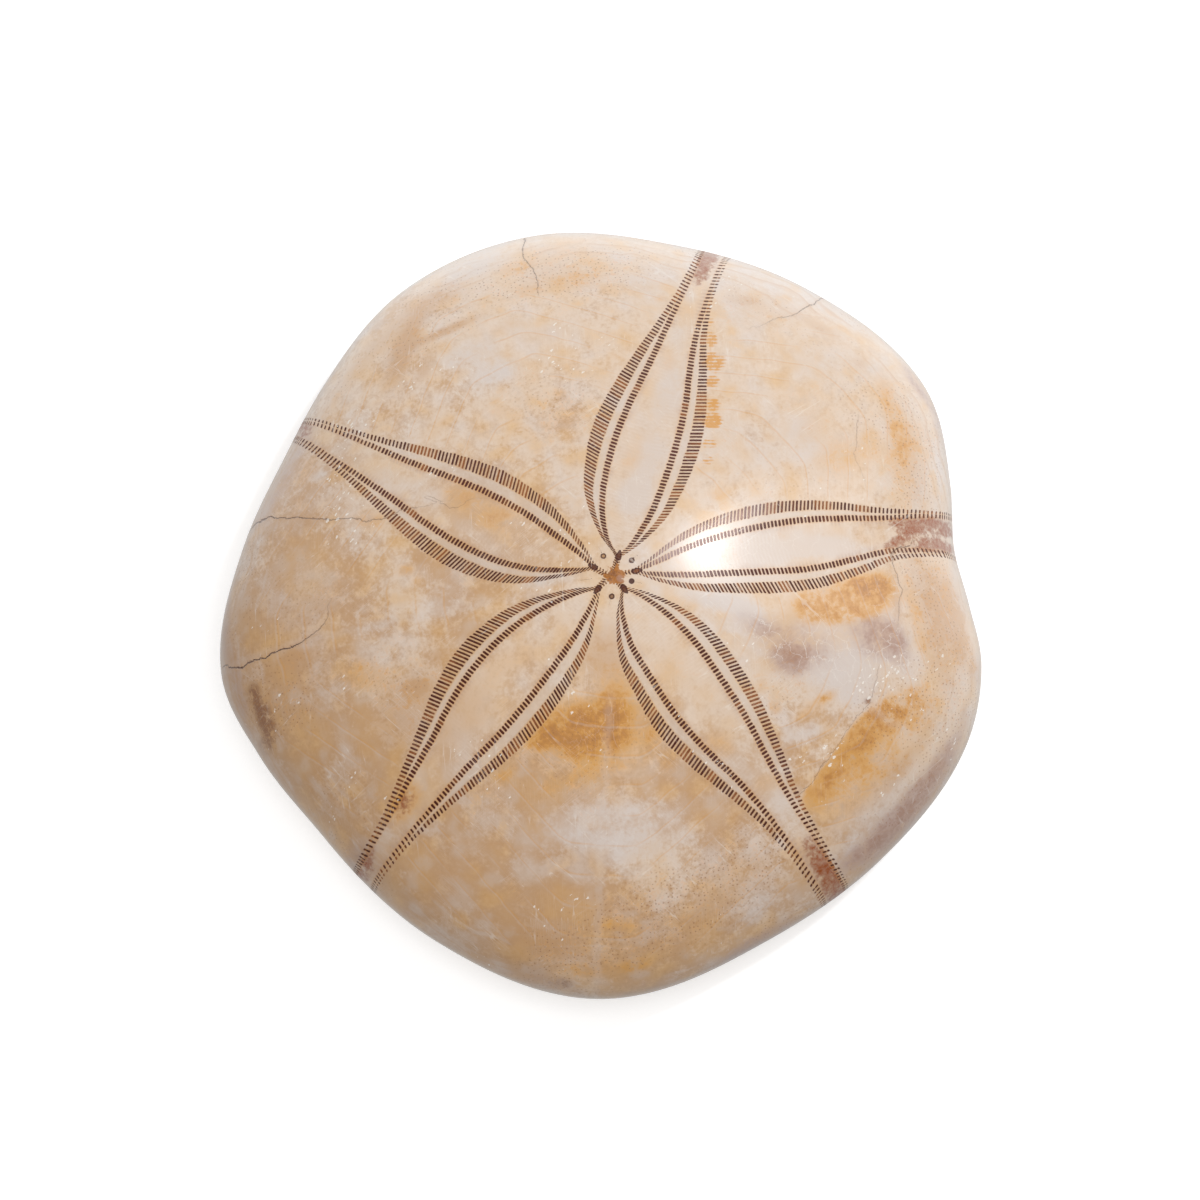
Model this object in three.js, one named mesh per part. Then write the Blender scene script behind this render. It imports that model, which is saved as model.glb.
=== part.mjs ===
// A polished fossil sand dollar: the closed shell (test) of an irregular sea urchin, turned to stone.
// It grew as one piece, so it is one solid. Millimetres, +Z up, +X towards the animal's front.
// It rests on the pads of its underside at z = 0, with the origin at the middle of its plan.
import * as THREE from 'three';

// Overall form
const HEIGHT = 28;           // resting plane to the top of the dome
const EDGE_HEIGHT = 8.5;     // height of the widest girth
const MEAN_REACH = 44.6;     // middle to edge, averaged all round
const APEX_AHEAD = 2.5;      // the top of the dome lies a little ahead of the middle
const APEX_ASIDE = -1.2;     // and a little to the animal's right

// Outline from above: [bearing in degrees, counter-clockwise from the front, reach in mm]
const OUTLINE = [
  [0, 43.5],     // notch in the front edge
  [10, 45.1],
  [25, 47.9],    // front left shoulder
  [47, 46.6],
  [69, 45.4],    // front left petal meets the edge
  [90, 46.0],    // left flank
  [112, 44.8],
  [131, 42.0],
  [146, 41.0],   // rear left petal meets the edge
  [162, 42.2],
  [182, 44.7],   // blunt tail
  [196, 43.2],
  [212, 42.0],   // rear right petal meets the edge
  [237, 44.0],
  [262, 46.7],   // right flank
  [288, 44.8],   // front right petal meets the edge
  [309, 45.4],
  [330, 47.1],   // front right shoulder
  [342, 46.5],
  [351, 44.6],
];

// Bearings of the five petals, and of the five broad fields between them
const PETALS = [0, 67, 147, 213, 292];
const FIELDS = PETALS.map((bearing, k) => midway(bearing, PETALS[(k + 1) % PETALS.length]));
const TAIL_FIELD = FIELDS[2];

// Dome: a superellipse in section, nearly a low cone with a soft crown and a rounded edge
const DOME_SPREAD = 1.4;     // exponent of the reach
const DOME_RISE = 1.95;      // exponent of the height
const CROWN_SOFTNESS = 0.15; // radius of the rounded crown, as a fraction of the reach
const OUTLINE_FADE = 1.2;    // how soon the outline's corners fade towards the top
const GROOVE_DEPTH = 0.45;   // shallow groove where each petal runs over the edge
const FRONT_GROOVE_DEPTH = 0.9;
const GROOVE_HALF_WIDTH = 8; // degrees

// Underside, as fractions of the reach
const PAD_OUTER = 0.8;       // flat resting pads, between this ring
const PAD_INNER = 0.7;       // and this one
const CUP_RISE = 2.6;        // the underside is hollowed this far towards the mouth
const MOUTH_SIZE = 0.09;     // radius of the mouth
const MOUTH_DEPTH = 4.5;
const MOUTH_AHEAD = 3.2;     // the mouth lies ahead of the middle
const MOUTH_LOBING = 0.3;    // how far its five corners reach out between the lips
const MOUTH_LOBE_HALF_WIDTH = 22; // degrees
const LIP_RING = 0.155;      // five swollen lips stand round the mouth, one in each field
const LIP_WIDTH = 0.055;
const LIP_HEIGHT = 1.5;
const LIP_HALF_WIDTH = 17;   // degrees
const FURROW_DEPTH = 0.9;    // food grooves that run from the mouth under the petals
const FURROW_HALF_WIDTH = 9;

// Vent: an oval pit on the underside, near the tail
const VENT_BEHIND = 38;
const VENT_HALF_LENGTH = 3.8;
const VENT_HALF_WIDTH = 2.9;
const VENT_DEPTH = 2.4;

// Facets
const SECTORS = 108;
const DOME_RINGS = 20;
const RING_CROWDING = 1.15;  // above 1, the rings crowd towards the top as well
const EDGE_RINGS = 8;
const PAD_RINGS = 2;
const CUP_RINGS = 11;
const MOUTH_RINGS = 4;

const DEGREES = Math.PI / 180;

function midway(bearing, next) {
  return (bearing + ((next - bearing + 360) % 360) / 2) % 360;
}

// Angle between two bearings, from -180 to 180
function turn(bearing, other) {
  return ((bearing - other + 540) % 360) - 180;
}

// A rounded bump, 1 at its middle and near 0 at twice its half width
function bump(distance, halfWidth) {
  return Math.exp(-((distance / halfWidth) ** 2));
}

// Reach of the edge at a bearing: a smooth closed curve through the points of the outline
function reach(bearing) {
  const count = OUTLINE.length;
  const at = (k) => {
    const [b, r] = OUTLINE[(k + count) % count];
    return [b + 360 * Math.floor(k / count), r];
  };
  const wrapped = ((bearing % 360) + 360) % 360;
  const k = OUTLINE.findLastIndex(([b]) => b <= wrapped);
  const [[b0, r0], [b1, r1], [b2, r2], [b3, r3]] = [at(k - 1), at(k), at(k + 1), at(k + 2)];
  const span = b2 - b1;
  const t = (wrapped - b1) / span;
  const slope1 = ((r2 - r0) / (b2 - b0)) * span;
  const slope2 = ((r3 - r1) / (b3 - b1)) * span;
  return r1 + t * (slope1 + t * (3 * (r2 - r1) - 2 * slope1 - slope2
    + t * (2 * (r1 - r2) + slope1 + slope2)));
}

// Grooves or bulges summed over a set of bearings
function radiating(bearing, bearings, halfWidth) {
  return bearings.reduce((sum, other) => sum + bump(turn(bearing, other), halfWidth), 0);
}

// Place of a point at a bearing and a fraction of the reach, drawn in towards a pole
function plan(bearing, fraction, pole, cornering) {
  const r = (MEAN_REACH + (reach(bearing) - MEAN_REACH) * cornering) * fraction;
  return [
    pole[0] * (1 - fraction) + r * Math.cos(bearing * DEGREES),
    pole[1] * (1 - fraction) + r * Math.sin(bearing * DEGREES),
  ];
}

// Height of the dome above its edge, from 1 at the top to 0 at the edge
function domeRise(fraction) {
  const fallen = (f) => 1 - (Math.hypot(f, CROWN_SOFTNESS) / Math.hypot(1, CROWN_SOFTNESS)) ** DOME_SPREAD;
  return Math.max(0, fallen(fraction) / fallen(0)) ** (1 / DOME_RISE);
}

// Upper surface: step runs from 0 at the top to 1 at the edge, with closer rings at the edge
function dome(bearing, step) {
  const fraction = Math.sin(step * Math.PI / 2) ** RING_CROWDING;
  const rise = domeRise(fraction);
  const [x, y] = plan(bearing, fraction, [APEX_AHEAD, APEX_ASIDE], fraction ** OUTLINE_FADE);
  const groove = GROOVE_DEPTH * radiating(bearing, PETALS, GROOVE_HALF_WIDTH)
    + (FRONT_GROOVE_DEPTH - GROOVE_DEPTH) * bump(turn(bearing, PETALS[0]), GROOVE_HALF_WIDTH);
  const z = EDGE_HEIGHT + (HEIGHT - EDGE_HEIGHT) * rise - groove * fraction ** 6 * rise ** 0.5;
  return [x, y, z];
}

// Lower surface, by the fraction of the reach
function underside(bearing, fraction) {
  const lobes = radiating(bearing, PETALS, MOUTH_LOBE_HALF_WIDTH) - 0.5;
  const lobed = fraction * (1 + MOUTH_LOBING * lobes * bump(fraction - MOUTH_SIZE, MOUTH_SIZE));
  const [x, y] = plan(bearing, lobed, [MOUTH_AHEAD, 0], fraction ** OUTLINE_FADE);
  let z = 0;
  if (fraction > PAD_OUTER) {
    const outward = (fraction - PAD_OUTER) / (1 - PAD_OUTER);
    z = EDGE_HEIGHT * (1 - Math.sqrt(Math.max(0, 1 - outward ** 2)));
  } else if (fraction < PAD_INNER) {
    const inward = Math.min(1, (PAD_INNER - fraction) / (PAD_INNER - MOUTH_SIZE));
    z = CUP_RISE * inward ** 2 * (3 - 2 * inward);
  }
  const furrowed = Math.min(1, Math.max(0, (fraction - LIP_RING) / 0.1)) * (1 - fraction ** 8);
  z += FURROW_DEPTH * radiating(bearing, PETALS, FURROW_HALF_WIDTH) * furrowed;
  z -= LIP_HEIGHT * radiating(bearing, FIELDS, LIP_HALF_WIDTH) * bump(fraction - LIP_RING, LIP_WIDTH);
  if (fraction < MOUTH_SIZE) z += MOUTH_DEPTH * (1 - (fraction / MOUTH_SIZE) ** 3);

  const [tailX, tailY] = [Math.cos(TAIL_FIELD * DEGREES), Math.sin(TAIL_FIELD * DEGREES)];
  const along = (x * tailX + y * tailY - VENT_BEHIND) / VENT_HALF_LENGTH;
  const across = (y * tailX - x * tailY) / VENT_HALF_WIDTH;
  z += VENT_DEPTH * Math.max(0, 1 - along ** 2 - across ** 2) ** 0.7;
  const pad = fraction <= PAD_OUTER && fraction >= PAD_INNER && z < 0.1;
  return [x, y, pad ? 0 : z];
}

// Rings of points from the top of the dome, over the edge, to the roof of the mouth
function rings() {
  const list = [];
  for (let k = 1; k <= DOME_RINGS; k++) {
    list.push((bearing) => dome(bearing, k / DOME_RINGS));
  }
  for (let k = 1; k <= EDGE_RINGS; k++) {
    const fraction = PAD_OUTER + (1 - PAD_OUTER) * Math.cos((k / EDGE_RINGS) * Math.PI / 2);
    list.push((bearing) => underside(bearing, fraction));
  }
  for (let k = 1; k <= PAD_RINGS; k++) {
    const fraction = PAD_OUTER + (PAD_INNER - PAD_OUTER) * (k / PAD_RINGS);
    list.push((bearing) => underside(bearing, fraction));
  }
  for (let k = 1; k <= CUP_RINGS; k++) {
    const inward = Math.sin((k / CUP_RINGS) * Math.PI / 2);
    const fraction = PAD_INNER + (MOUTH_SIZE - PAD_INNER) * inward;
    list.push((bearing) => underside(bearing, fraction));
  }
  for (let k = 1; k < MOUTH_RINGS; k++) {
    list.push((bearing) => underside(bearing, MOUTH_SIZE * (1 - k / MOUTH_RINGS)));
  }
  return list;
}

function testGeometry() {
  const loops = rings();
  const points = [dome(0, 0)];
  for (const point of loops) {
    for (let s = 0; s < SECTORS; s++) points.push(point((360 * s) / SECTORS));
  }
  points.push(underside(0, 0));

  const index = [];
  const last = points.length - 1;
  const at = (loop, s) => 1 + loop * SECTORS + (s % SECTORS);
  for (let s = 0; s < SECTORS; s++) {
    index.push(0, at(0, s), at(0, s + 1));
    for (let loop = 0; loop < loops.length - 1; loop++) {
      const [a, b] = [at(loop, s), at(loop, s + 1)];
      const [c, d] = [at(loop + 1, s), at(loop + 1, s + 1)];
      index.push(a, c, d, a, d, b);
    }
    index.push(at(loops.length - 1, s), last, at(loops.length - 1, s + 1));
  }
  const geometry = new THREE.BufferGeometry();
  geometry.setAttribute('position', new THREE.Float32BufferAttribute(points.flat(), 3));
  geometry.setIndex(index);

  // The outline's middle comes to the origin
  geometry.computeBoundingBox();
  const middle = geometry.boundingBox.getCenter(new THREE.Vector3());
  geometry.translate(-middle.x, -middle.y, 0);
  geometry.computeVertexNormals();
  return geometry;
}

const stone = new THREE.MeshStandardMaterial({ color: 0xd2b69b, roughness: 0.35, metalness: 0 });
const test = new THREE.Mesh(testGeometry(), stone);
test.name = 'sand_dollar';

const fossil = new THREE.Group();
fossil.add(test);

export default fossil;
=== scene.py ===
import math

import bpy
import numpy as np
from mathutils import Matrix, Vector


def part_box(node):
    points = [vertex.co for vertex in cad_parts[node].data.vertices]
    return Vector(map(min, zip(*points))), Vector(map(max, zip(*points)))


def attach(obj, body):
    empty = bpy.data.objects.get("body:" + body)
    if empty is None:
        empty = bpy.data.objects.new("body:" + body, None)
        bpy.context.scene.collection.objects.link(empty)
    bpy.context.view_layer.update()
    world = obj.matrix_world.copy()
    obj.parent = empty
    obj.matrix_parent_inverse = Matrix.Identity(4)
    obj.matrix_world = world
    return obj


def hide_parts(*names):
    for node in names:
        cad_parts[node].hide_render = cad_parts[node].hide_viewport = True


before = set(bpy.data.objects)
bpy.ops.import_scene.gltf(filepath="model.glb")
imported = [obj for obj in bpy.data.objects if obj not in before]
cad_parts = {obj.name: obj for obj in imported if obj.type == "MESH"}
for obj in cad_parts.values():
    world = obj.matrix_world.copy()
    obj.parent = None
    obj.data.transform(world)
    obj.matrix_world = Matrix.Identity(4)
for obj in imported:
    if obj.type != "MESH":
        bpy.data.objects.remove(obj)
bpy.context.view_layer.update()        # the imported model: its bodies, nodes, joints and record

bl_info = {
    "name": "Fossil Sand Dollar",
    "version": (1, 0, 0),
    "blender": (4, 5, 0),
    "location": "View3D > Sidebar > Fossil",
    "description": "A polished fossil sand dollar with five long petals of pore slits",
    "category": "Add Mesh",
}

TEST_LOW, TEST_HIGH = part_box("sand_dollar")
MM = 0.001

# ---------------------------------------------------------------- form of the shell, in millimetres

HEIGHT = 28               # resting plane to the top of the dome
EDGE_HEIGHT = 8.5         # height of the widest girth
MEAN_REACH = 44.6         # middle to edge, averaged all round
APEX = (2.5, -1.2)        # the top of the dome lies a little ahead of the middle and to its right

# Outline from above: (bearing in degrees, counter-clockwise from the front; reach in mm)
OUTLINE = (
    (0, 43.5),     # notch in the front edge
    (10, 45.1),
    (25, 47.9),    # front left shoulder
    (47, 46.6),
    (69, 45.4),    # front left petal meets the edge
    (90, 46.0),    # left flank
    (112, 44.8),
    (131, 42.0),
    (146, 41.0),   # rear left petal meets the edge
    (162, 42.2),
    (182, 44.7),   # blunt tail
    (196, 43.2),
    (212, 42.0),   # rear right petal meets the edge
    (237, 44.0),
    (262, 46.7),   # right flank
    (288, 44.8),   # front right petal meets the edge
    (309, 45.4),
    (330, 47.1),   # front right shoulder
    (342, 46.5),
    (351, 44.6),
)

AMBULACRA = (0, 67, 147, 213, 292)                 # bearings of the five petals at the edge
FIELDS = (33.5, 107, 180, 252.5, 326)              # and of the broad fields between them

# Dome: a superellipse in section, nearly a low cone with a soft crown and a rounded edge
DOME_SPREAD = 1.4         # exponent of the reach
DOME_RISE = 1.95          # exponent of the height
CROWN_SOFTNESS = 0.15     # radius of the rounded crown, as a fraction of the reach
OUTLINE_FADE = 1.2        # how soon the outline's corners fade towards the top
GROOVE_DEPTH = 0.45       # shallow groove where each petal runs over the edge
FRONT_GROOVE_DEPTH = 0.9
GROOVE_HALF_WIDTH = 8     # degrees
RING_CROWDING = 1.15      # above 1, the rings crowd towards the top as well

# Underside: rings and widths are fractions of the reach, heights millimetres, half widths degrees
PAD_OUTER = 0.8           # flat resting pads, between this ring
PAD_INNER = 0.7           # and this one
CUP_RISE = 2.6            # the underside is hollowed this far towards the mouth
MOUTH_SIZE = 0.09
MOUTH_DEPTH = 4.5
MOUTH_AHEAD = 3.2         # the mouth lies ahead of the middle
MOUTH_LOBING = 0.3        # how far its five corners reach out between the lips
MOUTH_LOBE_HALF_WIDTH = 22
MOUTH_RIM = MOUTH_SIZE * 1.6      # where the rings of the cup end and those of the mouth begin
LIP_RING = 0.155          # five swollen lips stand round the mouth, one in each field
LIP_WIDTH = 0.055
LIP_HEIGHT = 1.5
LIP_HALF_WIDTH = 17
FURROW_DEPTH = 0.9        # food grooves run from the mouth under the petals
FURROW_HALF_WIDTH = 9
FURROW_START = 0.1        # each deepens over this stretch beyond the lips

# Vent: an oval pit on the underside, near the tail
VENT_BEHIND = 38
VENT_HALF_LENGTH = 3.8
VENT_HALF_WIDTH = 2.9
VENT_DEPTH = 2.4

LAST_RUN = 1.5            # from the smallest ring of the mouth to its middle, along the surface
NEAR_EDGE = 0.82          # the share of the dome's rings after which the surface turns down

# ---------------------------------------------------------------- the five petals

# Places along a petal, in mm from its tip near the top of the dome
STATIONS = (0, 2, 6, 10, 15, 20, 25, 30, 35, 40, 48)

# There: gap from the outer row of slits to the inner row of pores, half the length of a slit, and
# spacing from slit to slit
ROW_GAP = (0.25, 0.70, 1.60, 1.95, 2.10, 1.90, 1.55, 0.92, 0.53, 0.45, 0.45)
SLIT_HALF = (0.10, 0.26, 0.47, 0.64, 0.75, 0.66, 0.48, 0.34, 0.22, 0.16, 0.14)
SLIT_PITCH = (0.42, 0.43, 0.43, 0.43, 0.44, 0.44, 0.44, 0.48, 0.53, 0.56, 0.60)
SLIT_LEAN = 17            # degrees; a slit's outer end points away from the top of the dome
PORE_LEAN = 5
LEAN_CHANGE = 0.7         # the pores' lean takes over this far inside the row of slits
LEAN_ROUNDS = 12

# Each petal: its tip, the bearing of its axis, then its left and right row of slits. A row is its
# distances from the axis at the stations, then its shares of the usual gap and length of slit
PETALS = (
    ((4.9, -0.6), 4.0,
     ((0.25, 1.05, 2.85, 3.85, 4.40, 4.25, 3.50, 2.40, 1.95, 1.90, 2.2), 0.93, 0.92),
     ((0.25, 1.40, 3.10, 4.00, 4.80, 5.10, 4.45, 3.30, 3.20, 3.60, 3.9), 0.93, 0.92)),
    ((3.2, 1.4), 65.8,
     ((0.30, 2.60, 5.10, 6.00, 6.20, 5.45, 4.30, 3.05, 2.05, 1.50, 1.3), 1.00, 1.12),
     ((0.25, 1.75, 3.70, 4.50, 4.85, 4.45, 3.40, 2.30, 1.95, 2.10, 2.6), 0.95, 0.95)),
    ((0.2, 0.6), 140.3,
     ((0.30, 2.10, 5.10, 6.60, 7.15, 6.60, 5.45, 4.10, 2.95, 2.00, 1.6), 1.00, 1.08),
     ((0.25, 1.30, 2.90, 3.85, 4.15, 3.60, 2.70, 1.80, 1.30, 1.20, 1.2), 1.13, 1.02)),
    ((0.3, -2.0), -140.5,
     ((0.25, 1.40, 3.30, 4.15, 4.60, 4.35, 3.55, 2.65, 2.00, 1.80, 1.8), 1.10, 0.90),
     ((0.30, 2.10, 4.80, 6.30, 6.90, 6.30, 4.85, 3.40, 2.15, 1.70, 1.7), 0.93, 1.10)),
    ((3.2, -2.4), -61.4,
     ((0.25, 1.75, 3.80, 4.65, 4.70, 4.20, 3.15, 2.00, 1.50, 1.40, 1.4), 0.95, 0.85),
     ((0.30, 2.40, 4.85, 5.65, 6.10, 5.45, 4.20, 3.00, 2.45, 2.30, 2.3), 1.00, 0.98)),
)

# The four egg pores near the top: ahead, to the left, and how strongly the core is lighter
EGG_PORES = ((1.5, 1.7, 0.8), (4.6, 0.7, 0.25), (4.2, -1.7, 0.0), (1.7, -3.1, 0.45))
EGG_PORE_RADIUS = 0.33
SIEVE_PLATE = (2.35, -0.75)                         # the middle of the blot between them
SIEVE_RADIUS = 1.0

PLATE_HEIGHT = 3.3                                  # mm from plate to plate along a field
PLATE_TURN = 3.5                                    # this far from the seam a plate's edge turns up
SEAMS = (33.5, 107, 180, 258, 326)                  # bearings of the seams down the broad fields

SLIT_THICKNESS = (0.090, 0.112)     # half thickness of a slit, at the petal's ends and in its middle
PORE_THICKNESS = (0.09, 0.13)       # and of a pore
SOFT_EDGE = 0.035                   # half width of the soft edge of slits and pores

# ---------------------------------------------------------------- stains and cracks

# The healed crack that cuts off one stain of the front right field
CUT_LINE = ((20.2, -27.3), (29.4, -18.2))
STAIN_SPREAD = 1.15       # a stain fades this much further out than its half length and half width

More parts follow.
